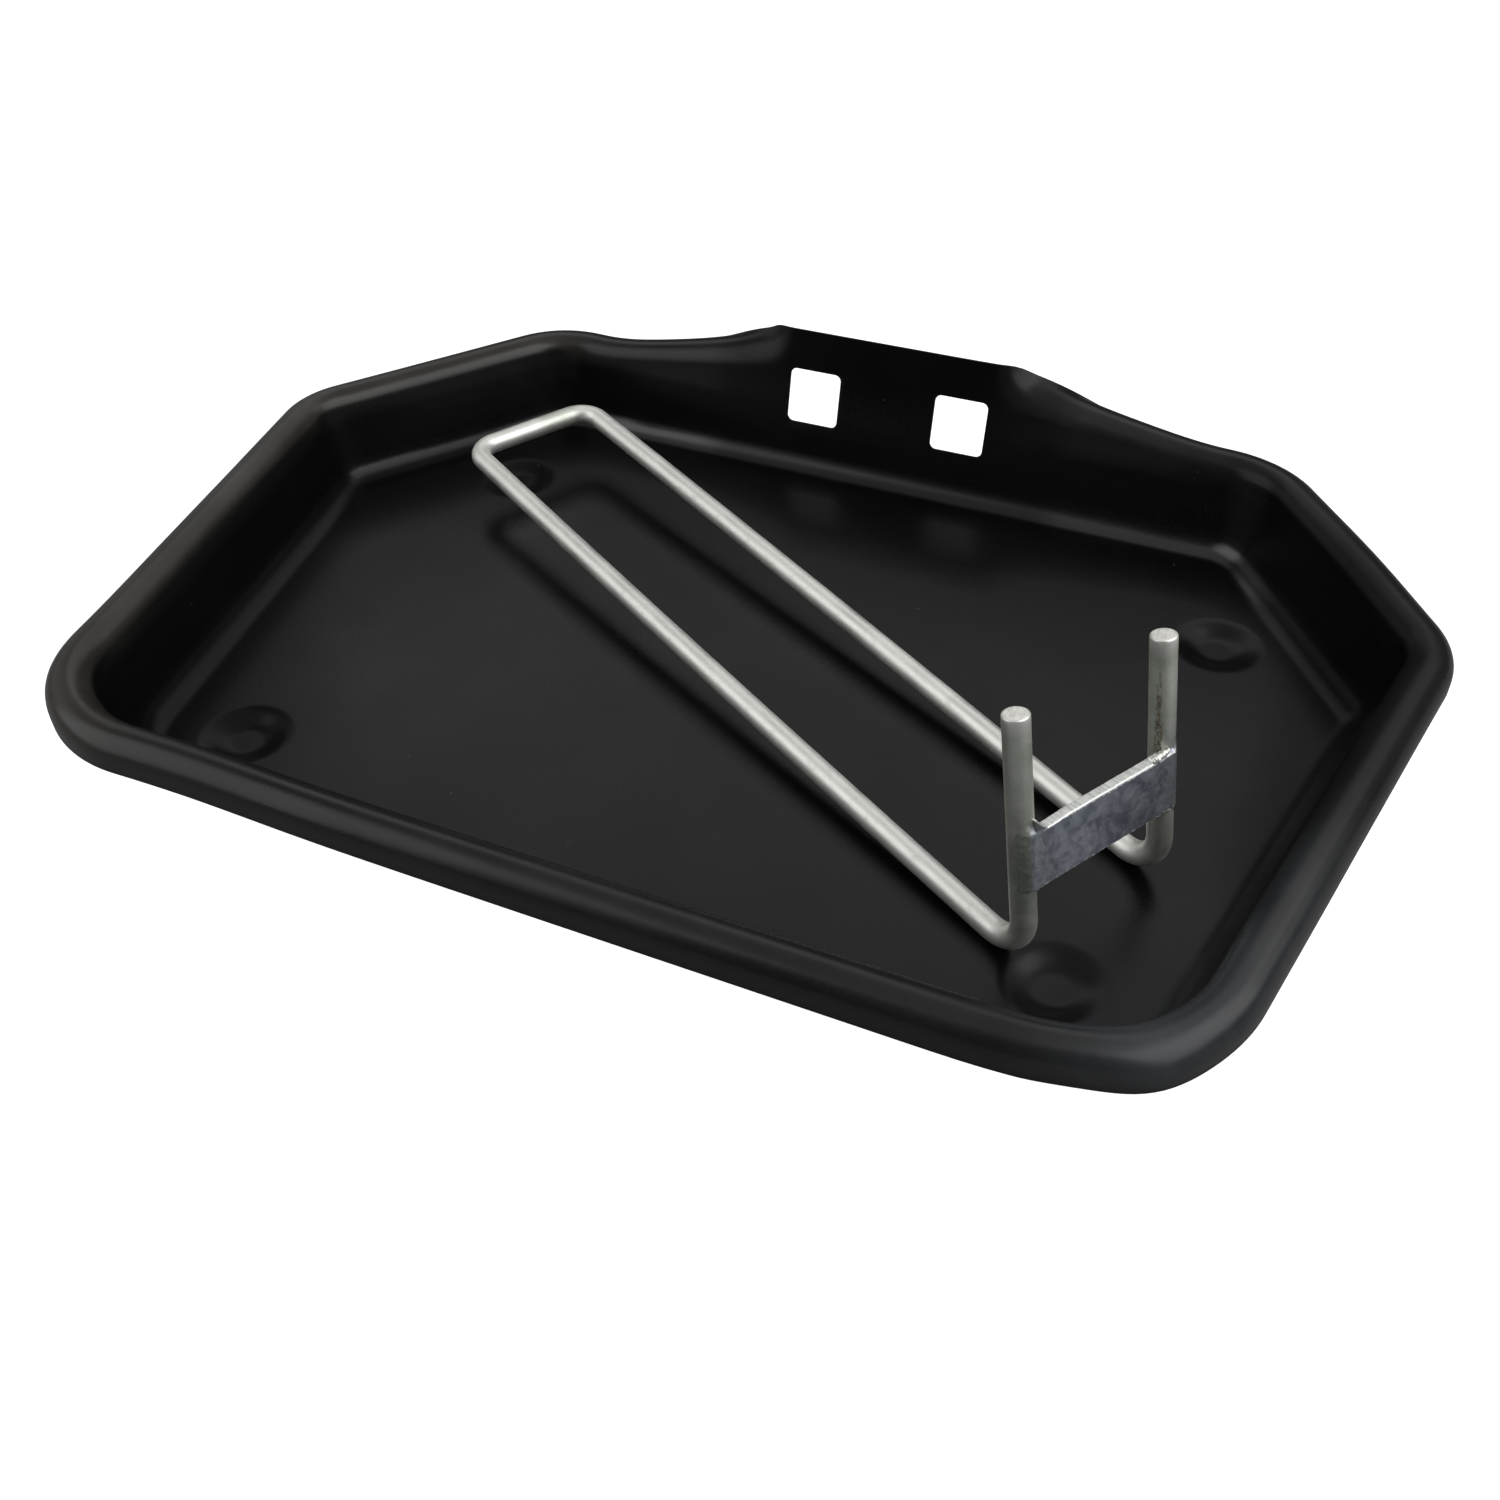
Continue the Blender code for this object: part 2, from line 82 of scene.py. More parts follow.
FOOT_DEPTH = 2.5 * MM
FOOT_SHOULDER = FOOT_R + 0.9 * MM
FOOT_RING = FOOT_R + 1.6 * MM
FOOT_CENTRES = ((-127.5 * MM, 41.0 * MM), (128.5 * MM, 43.0 * MM),
                (138.0 * MM, 201.5 * MM), (-128.0 * MM, 206.0 * MM))
FLOOR_Z = FOOT_DEPTH + SHEET_T
FLOOR_GRID = 7.0 * MM           # spacing of the loose points in the floor
GRID_GAP = 5.0 * MM             # kept clear round the floor's edge and the feet

# small bumps and dents in the rim: place x, y; push x, y, z; reach, all in mm
RIM_DENTS = ((-108.0, -7.0, 0.0, 1.3, 0.0, 26.0), (-174.0, 12.0, -1.4, 0.0, 0.0, 15.0),
             (163.0, -1.0, 0.8, -1.6, 0.0, 11.0), (143.0, -7.0, 0.0, 1.5, 0.0, 11.0),
             (179.0, 226.0, 1.0, 0.8, 0.0, 24.0), (90.0, 268.0, 0.0, 0.8, 1.1, 20.0),
             (-116.0, 268.0, 0.0, -0.7, -0.9, 14.0))

# --------------------------------------------------------------- bracket sizes
ROD_R = 7.0 * MM / 2
ARM_PITCH = 49.7 * MM
ARM_LEN = 294.0 * MM
PRONG_LEN = 74.5 * MM
PRONG_ANGLE = math.radians(76.8)
NEAR_BEND_R = 10.5 * MM
FAR_BEND_R = 8.5 * MM
ARM_BOW = 0.6 * MM
PLATE_T = 3.0 * MM
PLATE_W = 17.5 * MM
PLATE_L = 50.6 * MM
PLATE_UP = 33.2 * MM            # middle of the flat bar, up the prongs
PLATE_SEAT = 1.5 * MM           # its inner face, out from the prongs' centre line
PLATE_TOP = PLATE_UP + PLATE_W / 2
PLATE_LOW = PLATE_UP - PLATE_W / 2
FACE_OUT = PLATE_SEAT + PLATE_T
FIT_GAP = 0.3 * MM
LIE_X = 132.1 * MM
LIE_Y = 66.9 * MM
LIE_HEADING = math.radians(150.5)
LIE_TILT = math.radians(3.0)

# ------------------------------------------------------------------ resolution
FILLET_SEG = 12
WALL_SEG = 7
CURL_SEG = 24
LIP_SEG = 2
FOOT_SEG = 56
ROD_SEG = 40


# --------------------------------------------------------------------- helpers
def clamp(value):
    return min(1.0, max(0.0, value))


def smoothstep(share):
    return share * share * (3 - 2 * share)


def spaced(start, stop, step):
    """Values from start up to stop."""
    return [start + step * k for k in range(int((stop - start) // step) + 1)]


def loop_pairs(count):
    return [(k, (k + 1) % count) for k in range(count)]


def shade_smooth(mesh, angle=None):
    """Shades all faces smooth, with edges steeper than the angle (degrees) left sharp."""
    for poly in mesh.polygons:
        poly.use_smooth = True
    if angle is not None:
        mesh.set_sharp_from_angle(angle=math.radians(angle))


class Skin:
    """Vertices and faces being gathered; a face may carry UVs and a material slot."""

    def __init__(self):
        self.verts, self.faces, self.uvs, self.slots = [], [], [], []

    def add(self, places):
        """Adds a list of vertices and returns their indices."""
        start = len(self.verts)
        self.verts += places
        return list(range(start, len(self.verts)))

    def face(self, corners, uvs=None, slot=0, flip=False):
        order = -1 if flip else 1
        self.faces.append(tuple(corners[::order]))
        if uvs:
            self.uvs.append(uvs[::order])
        self.slots.append(slot)

    def flat_face(self, corners, flip=False):
        """A face whose UVs are its x and y."""
        self.face(corners, [self.verts[i][:2] for i in corners], flip=flip)

    def build(self, name, mats=(), smooth=40.0):
        mesh = bpy.data.meshes.new(name)
        mesh.from_pydata([tuple(v) for v in self.verts], [], self.faces)
        if self.uvs:
            layer = mesh.uv_layers.new(name="sheet")
            for poly in mesh.polygons:
                for loop, uv in zip(poly.loop_indices, self.uvs[poly.index]):
                    layer.data[loop].uv = uv
        if any(self.slots):
            for poly, slot in zip(mesh.polygons, self.slots):
                poly.material_index = slot
        for mat in mats:
            mesh.materials.append(mat)
        shade_smooth(mesh, smooth)
        mesh.update()
        ob = bpy.data.objects.new(name, mesh)
        bpy.context.scene.collection.objects.link(ob)
        return ob


@contextmanager
def edited(ob):
    """Opens an object's mesh as a bmesh and writes it back."""
    bm = bmesh.new()
    bm.from_mesh(ob.data)
    yield bm
    bm.to_mesh(ob.data)
    bm.free()


def face_outwards(ob):
    with edited(ob) as bm:
        bmesh.ops.recalc_face_normals(bm, faces=bm.faces)


def bake(ob):
    """Applies the modifiers of an object to its mesh."""
    depsgraph = bpy.context.evaluated_depsgraph_get()
    mesh = bpy.data.meshes.new_from_object(ob.evaluated_get(depsgraph))
    ob.modifiers.clear()
    old = ob.data
    ob.data = mesh
    mesh.name = old.name


def point_values(ob, name, values):
    ob.data.attributes.new(name, "FLOAT", "POINT").data.foreach_set("value", values)


# -------------------------------------------------------------- tray: the sheet
WALL_SIN, WALL_COS = math.sin(WALL_DRAFT), math.cos(WALL_DRAFT)
# where the wall meets the rolled rim, and the wall's line carried down to the floor
BEAD_START_X = -BEAD_R * WALL_COS
BEAD_START_Z = BEAD_Z + BEAD_R * WALL_SIN
WALL_FOOT = BEAD_START_X - BEAD_START_Z * WALL_SIN / WALL_COS


def roll_at(x):
    """Along the back edge: length of the wall's straight extension, and share of full curl."""
    reach = abs(x)
    if reach <= TAB_FLAT:
        return TAB_RISE, 0.0
    if reach >= TAB_END:
        return 0.0, 1.0
    near = (TAB_END - reach) / (TAB_END - TAB_FLAT)
    ease = min(1.0, (reach - TAB_FLAT) / ROLL_EASE)
    rise = 0.5 * near ** 1.8 + 0.5 * smoothstep(near)
    return TAB_RISE * rise, (1.0 - near * near) ** 0.6 * (0.25 * ease + 0.75 * smoothstep(ease))


def tab_xs():
    """Stations along the back edge from right to left, closest where the curl begins."""
    half = [38.5, 38.9, 39.5, 40.4, 41.6, 43.2, 45.2, 47.4] + spaced(50.0, 122.5, 2.6)
    flat = [TAB_FLAT * k / 7 for k in range(6, 0, -1)]
    right = [v * MM for v in reversed(half)] + flat
    return right + [0.0] + [-v for v in reversed(right)]


def rim_stations():
    """Stations round the rim's centre line (x, y, outward normal, roll), and arc lengths."""
    # x, y, radius, segments; anticlockwise from the front left
    corners = [
        (-FRONT_HALF, 0.0, FRONT_R, 30), (FRONT_HALF, 0.0, FRONT_R, 30),
        (SIDE_HALF, SIDE_Y, SIDE_R, 16), (BACK_HALF, BACK_Y, BACK_R, 18),
        (-BACK_HALF, BACK_Y, BACK_R, 18), (-SIDE_HALF, SIDE_Y, SIDE_R, 16)]
    back_run = 3
    run_step = 6.0 * MM
    plain = (0.0, 1.0)
    arcs = []
    for i, (x, y, radius, seg) in enumerate(corners):
        corner = Vector((x, y))
        after = Vector(corners[(i + 1) % len(corners)][:2])
        d_in = (corner - Vector(corners[i - 1][:2])).normalized()
        d_out = (after - corner).normalized()
        turn = d_in.angle(d_out)
        centre = corner + (d_out - d_in).normalized() * (radius / math.cos(turn / 2))
        points = []
        for k in range(seg + 1):
            angle = turn * k / seg
            nx = d_in.y * math.cos(angle) + d_in.x * math.sin(angle)
            ny = -d_in.x * math.cos(angle) + d_in.y * math.sin(angle)
            points.append((centre.x + radius * nx, centre.y + radius * ny, nx, ny))
        arcs.append(points)
    stations = []
    for i, points in enumerate(arcs):
        stations += [(*p, plain) for p in points]
        if i == back_run:
            stations += [(x, BACK_Y, 0.0, 1.0, roll_at(x)) for x in tab_xs()]
            continue
        x0, y0, nx, ny = points[-1]
        x1, y1 = arcs[(i + 1) % len(arcs)][0][:2]
        cuts = int(math.hypot(x1 - x0, y1 - y0) // run_step)
        for k in range(1, cuts):
            share = k / cuts
            stations.append((x0 + (x1 - x0) * share, y0 + (y1 - y0) * share, nx, ny, plain))
    arc = [0.0]
    for p, q in zip(stations, stations[1:] + stations[:1]):
        arc.append(arc[-1] + math.hypot(q[0] - p[0], q[1] - p[1]))
    return stations, arc


def sheet_profile(roll):
    """Section from the floor's edge to the lip as (offset, z): inside, underside, cut edge."""
    fillet_x = WALL_FOOT - FLOOR_FILLET * (1.0 - WALL_SIN) / WALL_COS
    top, under = [(fillet_x - 0.5 * MM, 0.0)], [(fillet_x - 0.5 * MM, -SHEET_T)]
    for k in range(FILLET_SEG + 1):
        angle = -math.pi / 2 + (math.pi / 2 - WALL_DRAFT) * k / FILLET_SEG
        for side, radius in ((top, FLOOR_FILLET), (under, FLOOR_FILLET + SHEET_T)):
            side.append((fillet_x + radius * math.cos(angle),
                         FLOOR_FILLET + radius * math.sin(angle)))

    def put(x, z, heading):
        top.append((x, z))
        under.append((x + SHEET_T * math.sin(heading), z - SHEET_T * math.cos(heading)))

    straight, share = roll
    heading = math.pi / 2 - WALL_DRAFT
    x0, z0 = top[-1]
    x = BEAD_START_X + straight * math.cos(heading)
    z = BEAD_START_Z + straight * math.sin(heading)
    for k in range(1, WALL_SEG + 1):
        up = k / WALL_SEG
        put(x0 + (x - x0) * up, z0 + (z - z0) * up, heading)
    step = ((math.pi - WALL_DRAFT) * BEAD_R - straight) / CURL_SEG
    turn = share * step / BEAD_R
    chord = 2 * (step / turn) * math.sin(turn / 2) if turn > 1e-6 else step
    for _ in range(CURL_SEG):
        x += chord * math.cos(heading - turn / 2)
        z += chord * math.sin(heading - turn / 2)
        heading -= turn
        put(x, z, heading)
    for _ in range(LIP_SEG):
        x += LIP / LIP_SEG * math.cos(heading)
        z += LIP / LIP_SEG * math.sin(heading)
        put(x, z, heading)
    # rounded sheet edge: share of the thickness, bulge in mm
    edge = []
    for depth, bulge in ((0.12, 0.10), (0.5, 0.16), (0.88, 0.10)):
        edge.append((x + depth * SHEET_T * math.sin(heading) + bulge * MM * math.cos(heading),
                     z - depth * SHEET_T * math.cos(heading) + bulge * MM * math.sin(heading)))
    return top, under, edge


STATIONS, ARC = rim_stations()
SECTIONS = [sheet_profile(station[4]) for station in STATIONS]
TRAY_LO, TRAY_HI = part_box("tray_pan")


def depth_middle():
    ys = [y + offset * ny for (_x, y, _nx, ny, _roll), (top, _u, _e) in zip(STATIONS, SECTIONS)
          for offset, _z in top]
    return (min(ys) + max(ys)) / 2


# the tray's y zero in the frame
ORIGIN_Y = depth_middle() - (TRAY_LO.y + TRAY_HI.y) / 2
FEET = [Vector((x, y - ORIGIN_Y)) for x, y in FOOT_CENTRES]


def to_frame(x, y, z):
    return (x, y - ORIGIN_Y, z + FLOOR_Z)


def near_foot(point, distance):
    return any((point - foot).length < distance for foot in FEET)


def dented(x, y, z):
    """Place of a sheet point once the rim's dents are in it."""
    weight = clamp((z - 7.0 * MM) / (15.0 * MM))
    dx = dy = dz = 0.0
    if weight > 0.0:
        for at_x, at_y, push_x, push_y, push_z, reach in RIM_DENTS:
            away = (x / MM - at_x) ** 2 + (y / MM - at_y) ** 2
            k = weight * math.exp(-away / (2 * reach * reach)) * MM
            dx, dy, dz = dx + push_x * k, dy + push_y * k, dz + push_z * k
    return x + dx, y + dy, z + dz


def waviness(x, y, z):
    """Slow unevenness of the pressed sheet, in metres."""
    broad = noise.noise(Vector((x * 14.0, y * 14.0, z * 14.0)))
    close = noise.noise(Vector((x * 33.0 + 5.1, y * 33.0, z * 33.0)))
    return (broad * 0.10 + close * 0.035) * MM


def sheet_ring(skin, side, level):
    """One ring of vertices round the tray; side is 0 inside, 1 underside, 2 cut edge."""
    places = []
    for (x, y, nx, ny, _roll), section in zip(STATIONS, SECTIONS):
        offset, z = section[side][level]
        px, py = x + offset * nx, y + offset * ny
        wave = waviness(px, py, z)
        lift = wave if z > 2 * MM else wave * 0.5
        places.append(to_frame(*dented(px + wave * nx, py + wave * ny, z + lift)))
    return skin.add(places)


def build_walls(skin):
    """Fillet, walls and rolled rim; returns the innermost rings, inside and underside."""
    base = SECTIONS[0][0]
    levels = len(base)
    tops = [sheet_ring(skin, 0, k) for k in range(levels)]
    edges = [sheet_ring(skin, 2, k) for k in range(3)]
    unders = [sheet_ring(skin, 1, k) for k in range(levels)]
    run = [0.0]
    for p, q in zip(base, base[1:]):
        run.append(run[-1] + math.hypot(q[0] - p[0], q[1] - p[1]))

    def band(lower, upper, v0, v1, flip=False):
        for s, t in loop_pairs(len(STATIONS)):
            u0, u1 = ARC[s], ARC[s + 1]
            skin.face([lower[s], lower[t], upper[t], upper[s]],
                      [(u0, v0), (u1, v0), (u1, v1), (u0, v1)], flip=flip)

    for k in range(levels - 1):
        band(tops[k], tops[k + 1], run[k], run[k + 1], flip=True)
        band(unders[k], unders[k + 1], run[k], run[k + 1])
    chain = [tops[-1]] + edges + [unders[-1]]
    for lower, upper in zip(chain, chain[1:]):
        band(lower, upper, run[-1], run[-1] + 0.5 * MM, flip=True)
    return tops[0], unders[0]


def foot_profile():
    """Radius and depth of a dished foot from its rim inwards: inside and underside."""
    top = [(FOOT_RING, 0.0)]
    for k in range(17):
        share = k / 16.0
        sink = 0.45 * smoothstep(share) + 0.55 * math.sin(0.5 * math.pi * share) ** 2
        top.append((FOOT_SHOULDER + (FOOT_FLAT_R - FOOT_SHOULDER) * share, -FOOT_DEPTH * sink))
    top += [(FOOT_FLAT_R * 0.66, -FOOT_DEPTH), (FOOT_FLAT_R * 0.33, -FOOT_DEPTH)]
    under = []
    for i, (radius, z) in enumerate(top):
        nr, nz = 0.0, -1.0
        if 0 < i < len(top) - 3:
            dr = top[i + 1][0] - top[i - 1][0]
            dz = top[i + 1][1] - top[i - 1][1]
            length = math.hypot(dr, dz)
            nr, nz = -dz / length, dr / length
        under.append((radius + SHEET_T * nr, z + SHEET_T * nz))
    return top, under


def build_foot(skin, cx, cy, profile, up):
    """One side of a foot, facing up or down; returns its rim ring."""
    def place(radius, angle, z):
        x, y = cx + radius * math.cos(angle), cy + radius * math.sin(angle)
        return to_frame(x, y, z + 0.5 * waviness(x, y, 0.0))

    rings = []
    for radius, z in profile:
        rings.append(skin.add([place(radius, 2 * math.pi * j / FOOT_SEG, z)
                               for j in range(FOOT_SEG)]))
        if len(rings) > 1:
            outer, ring = rings[-2:]
            for j, t in loop_pairs(FOOT_SEG):
                skin.flat_face([ring[j], ring[t], outer[t], outer[j]], flip=up)
    last = rings[-1]
    hub = skin.add([place(0.0, 0.0, profile[-1][1])])[0]
    for j, t in loop_pairs(FOOT_SEG):
        skin.flat_face([last[j], last[t], hub], flip=not up)
    return rings[0]


def floor_grid(ring):
    """Loose staggered points inside the floor's edge and clear of the feet."""
    def inside(point):
        odd = False
        for a, b in zip(ring, ring[-1:] + ring[:-1]):
            if ((a.y > point.y) != (b.y > point.y)
                    and point.x < (b.x - a.x) * (point.y - a.y) / (b.y - a.y) + a.x):
                odd = not odd
        return odd

    grid = []
    for ix in range(-30, 31):
        for iy in range(-21, 22):
            point = Vector((ix * FLOOR_GRID + (iy % 2) * FLOOR_GRID / 2, iy * FLOOR_GRID))
            at_edge = any((point - q).length < GRID_GAP for q in ring[::2])
            if not at_edge and not near_foot(point, FOOT_R + GRID_GAP) and inside(point):
                grid.append(point)
    return grid


def fill_floor(skin, outer, loops, grid, z, up):
    """Triangles between the floor's edge and the rims of the feet."""
    index = list(outer)
    links = loop_pairs(len(outer))
    for loop in loops:
        base = len(index)
        index += loop
        links += [(base + k, base + t) for k, t in loop_pairs(len(loop))]
    index += skin.add([(p.x, p.y, z + FLOOR_Z + 0.5 * waviness(p.x, p.y + ORIGIN_Y, 0.0))
                       for p in grid])
    points = [Vector(skin.verts[i][:2]) for i in index]
    for tri in delaunay_2d_cdt(points, links, [], 1, 1e-9)[2]:
        if near_foot((points[tri[0]] + points[tri[1]] + points[tri[2]]) / 3, FOOT_RING):
            continue
        a, b, c = (index[k] for k in tri)
        (ax, ay), (bx, by), (cx, cy) = (skin.verts[i][:2] for i in (a, b, c))
        area = (bx - ax) * (cy - ay) - (cx - ax) * (by - ay)
        if (area > 0) != up:
            b, c = c, b
        skin.flat_face([a, b, c])


def build_tray(mat):
    skin = Skin()
    top_ring, under_ring = build_walls(skin)
    top_profile, under_profile = foot_profile()
    top_loops = [build_foot(skin, x, y, top_profile, True) for x, y in FOOT_CENTRES]
    under_loops = [build_foot(skin, x, y, under_profile, False) for x, y in FOOT_CENTRES]
    grid = floor_grid([Vector(skin.verts[i][:2]) for i in top_ring])
    fill_floor(skin, top_ring, top_loops, grid, 0.0, True)
    fill_floor(skin, under_ring, under_loops, grid, -SHEET_T, False)
    return skin.build("tray_sheet", [mat], 35.0)


# -------------------------------------------------------------- tray: the holes
def hole_cutter(name, x):
    """Square prism with rounded corners, standing through the back wall."""
    up, out = Vector((0.0, WALL_SIN, WALL_COS)), Vector((0.0, WALL_COS, -WALL_SIN))
    centre = Vector((x, BACK_Y + WALL_FOOT + HOLE_Z * WALL_SIN / WALL_COS, HOLE_Z))
    half = HOLE_SIZE / 2 - HOLE_R
    outline = []
    for quarter, (cx, cz) in enumerate(((half, half), (-half, half),
                                        (-half, -half), (half, -half))):
        for k in range(9):
            angle = quarter * 0.5 * math.pi + 0.5 * math.pi * k / 8
            outline.append((cx + HOLE_R * math.cos(angle), cz + HOLE_R * math.sin(angle)))
    skin = Skin()
    inner, outer = [
        skin.add([to_frame(*(centre + Vector((px, 0.0, 0.0)) + up * pz + out * offset))
                  for px, pz in outline])
        for offset in (-4.0 * MM, 5.0 * MM)]
    skin.face(inner)
    skin.face(outer, flip=True)
    for k, t in loop_pairs(len(outline)):
        skin.face([inner[k], outer[k], outer[t], inner[t]])
    ob = skin.build(name, smooth=30.0)
    face_outwards(ob)
    return ob


def punch_holes(tray):
    cutters = [hole_cutter("punch_left", -HOLE_X), hole_cutter("punch_right", HOLE_X)]
    for cutter in cutters:
        mod = tray.modifiers.new(cutter.name, "BOOLEAN")
        mod.operation = "DIFFERENCE"
        mod.solver = "EXACT"
        mod.object = cutter
    bake(tray)
    for cutter in cutters:
        bpy.data.objects.remove(cutter, do_unlink=True)

    def punched(edge):
        middle_x = (edge.verts[0].co.x + edge.verts[1].co.x) / 2
        return (len(edge.link_faces) == 2 and edge.calc_face_angle(0.0) > math.radians(70)
                and abs(abs(middle_x) - HOLE_X) < 12 * MM and edge.verts[0].co.y > 0.1)

    with edited(tray) as bm:
        bmesh.ops.remove_doubles(bm, verts=bm.verts, dist=1e-7)
        # a slight break on the punched edges
        bmesh.ops.bevel(bm, geom=[e for e in bm.edges if punched(e)], offset=0.16 * MM,
                        segments=2, profile=0.5, affect="EDGES")
    shade_smooth(tray.data, 35.0)


# ------------------------------------------------------------- bracket: its axes
def lie_axes():
    """Directions of the arms, across them, up the prongs, and out from the bar's face."""
    arm = Vector((math.cos(LIE_HEADING) * math.cos(LIE_TILT),
                  math.sin(LIE_HEADING) * math.cos(LIE_TILT), math.sin(LIE_TILT)))
    across = Vector((-math.sin(LIE_HEADING), math.cos(LIE_HEADING), 0.0))
    prong = arm * math.cos(PRONG_ANGLE) + arm.cross(across) * math.sin(PRONG_ANGLE)
    return arm, across, prong, (prong * arm.dot(prong) - arm).normalized()


def fillet_path(points, radii, seg_deg):
    """Path through the points, with each inner corner rounded to its radius."""
    path = [points[0]]
    for before, corner, after, radius in zip(points, points[1:], points[2:], radii):
        back, ahead = (before - corner).normalized(), (after - corner).normalized()
        angle = back.angle(ahead)
        trim = radius / math.tan(angle / 2)
        centre = corner + (back + ahead).normalized() * (radius / math.sin(angle / 2))
        first = (corner + back * trim - centre).normalized()
        turn = math.pi - angle
        second = corner + ahead * trim - centre
        second = (second - first * second.dot(first)).normalized()
        count = max(4, int(round(math.degrees(turn) / seg_deg)))
        for k in range(count + 1):
            part = turn * k / count
            path.append(centre + (first * math.cos(part) + second * math.sin(part)) * radius)
    path.append(points[-1])
    return path


ARM, ACROSS, PRONG, OUT = lie_axes()


def bracket_base():
    """Middle between the feet of the prongs, with the rod just clear of the floor."""
    corners = [PRONG * PRONG_LEN, Vector((0, 0, 0)), ARM * ARM_LEN]
    low = min(p.z for p in fillet_path(corners, [NEAR_BEND_R], 9.0))
    return Vector((LIE_X, LIE_Y - ORIGIN_Y, FLOOR_Z + ROD_R + FIT_GAP - low))


BASE = bracket_base()
LEFT, RIGHT = BASE - ACROSS * (ARM_PITCH / 2), BASE + ACROSS * (ARM_PITCH / 2)


# -------------------------------------------------------------- bracket: the rod
def resample(path, step):
    out = [path[0]]
    for p, q in zip(path, path[1:]):
        count = max(1, int(round((q - p).length / step)))
        out += [p.lerp(q, k / count) for k in range(1, count + 1)]
    return out


def rod_path():
    corners = [LEFT + PRONG * PRONG_LEN, LEFT, LEFT + ARM * ARM_LEN,
               RIGHT + ARM * ARM_LEN, RIGHT, RIGHT + PRONG * PRONG_LEN]
    path = fillet_path(corners, [NEAR_BEND_R, FAR_BEND_R, FAR_BEND_R, NEAR_BEND_R], 4.0)
    bowed = []
    for p in resample(path, 1.3 * MM):
        d = p - BASE
        side = d.dot(ACROSS)
        share = (d.dot(ARM) - 12.0 * MM) / (ARM_LEN - 26.0 * MM)
        rise = (d - ARM * d.dot(ARM) - ACROSS * side).length
        if 0.0 < share < 1.0 and abs(abs(side) - ARM_PITCH / 2) < 1.0 * MM and rise < 1.0 * MM:
            # both arms are bowed outwards a little
            p = p + ACROSS * math.copysign(ARM_BOW * math.sin(math.pi * share) ** 0.8, side)
        bowed.append(p)
    return bowed


def cap_rod(skin, ring, centre, outward, flip):
    """Slightly uneven flat end of the rod."""
    def cap_face(corners):
        skin.face(corners, [(0.0, 0.0)] * len(corners), slot=1, flip=flip)

    previous = ring
    for share in (0.72, 0.42):
        places = []
        for i in ring:
            q = centre + (skin.verts[i] - centre) * share
            q += outward * (noise.noise(q * 900.0) * 0.07 + 0.02) * MM
            places.append(q)
        new = skin.add(places)
        for j, t in loop_pairs(ROD_SEG):
            cap_face([previous[j], previous[t], new[t], new[j]])
        previous = new
    hub = skin.add([centre + outward * 0.03 * MM])[0]
    for j, t in loop_pairs(ROD_SEG):
        cap_face([previous[j], previous[t], hub])


def build_rod(mats):
    path = rod_path()
    start, end = (path[1] - path[0]).normalized(), (path[-1] - path[-2]).normalized()
    # rounded break at both cut ends, in mm: distance from the end, radius taken off
    breaks = ((0.0, 0.55), (0.08, 0.30), (0.22, 0.12), (0.50, 0.0))
    circles = [(path[0] + start * a * MM, ROD_R - b * MM) for a, b in breaks]
    circles += [(p, ROD_R) for p in path[1:-1]]
    circles += [(path[-1] - end * a * MM, ROD_R - b * MM) for a, b in reversed(breaks)]
    points = [p for p, _ in circles]
    skin = Skin()
    rings, lengths = [], []
    axis = ACROSS
    length = 0.0
    for i, (p, radius) in enumerate(circles):
        if i == 0:
            tangent = start
        elif i == len(points) - 1:
            tangent = end
        else:
            tangent = (points[i + 1] - points[i - 1]).normalized()
        if i:
            length += (p - points[i - 1]).length
        lengths.append(length)
        axis = (axis - tangent * axis.dot(tangent)).normalized()
        side = tangent.cross(axis)
        places = []
        for j in range(ROD_SEG):
            angle = 2 * math.pi * j / ROD_SEG
            d = axis * math.cos(angle) + side * math.sin(angle)
            q = p + d * radius
            wave = noise.noise(q * 120.0) * 0.035 + noise.noise(q * 420.0) * 0.012
            places.append(q + d * wave * MM)
        rings.append(skin.add(places))
    girth = 2 * math.pi * ROD_R
    for low, high, v0, v1 in zip(rings, rings[1:], lengths, lengths[1:]):
        for j, t in loop_pairs(ROD_SEG):
            u0, u1 = girth * j / ROD_SEG, girth * (j + 1) / ROD_SEG
            skin.face([low[j], low[t], high[t], high[j]],
                      [(u0, v0), (u1, v0), (u1, v1), (u0, v1)])
    cap_rod(skin, rings[0], points[0], -start, True)
    cap_rod(skin, rings[-1], points[-1], end, False)
    ob = skin.build("bracket_wire", mats, 38.0)
    marks = [rod_marks(v.co) for v in ob.data.vertices]
    for name, values in zip(("stain", "heat", "grey"), zip(*marks)):
        point_values(ob, name, values)
    return ob


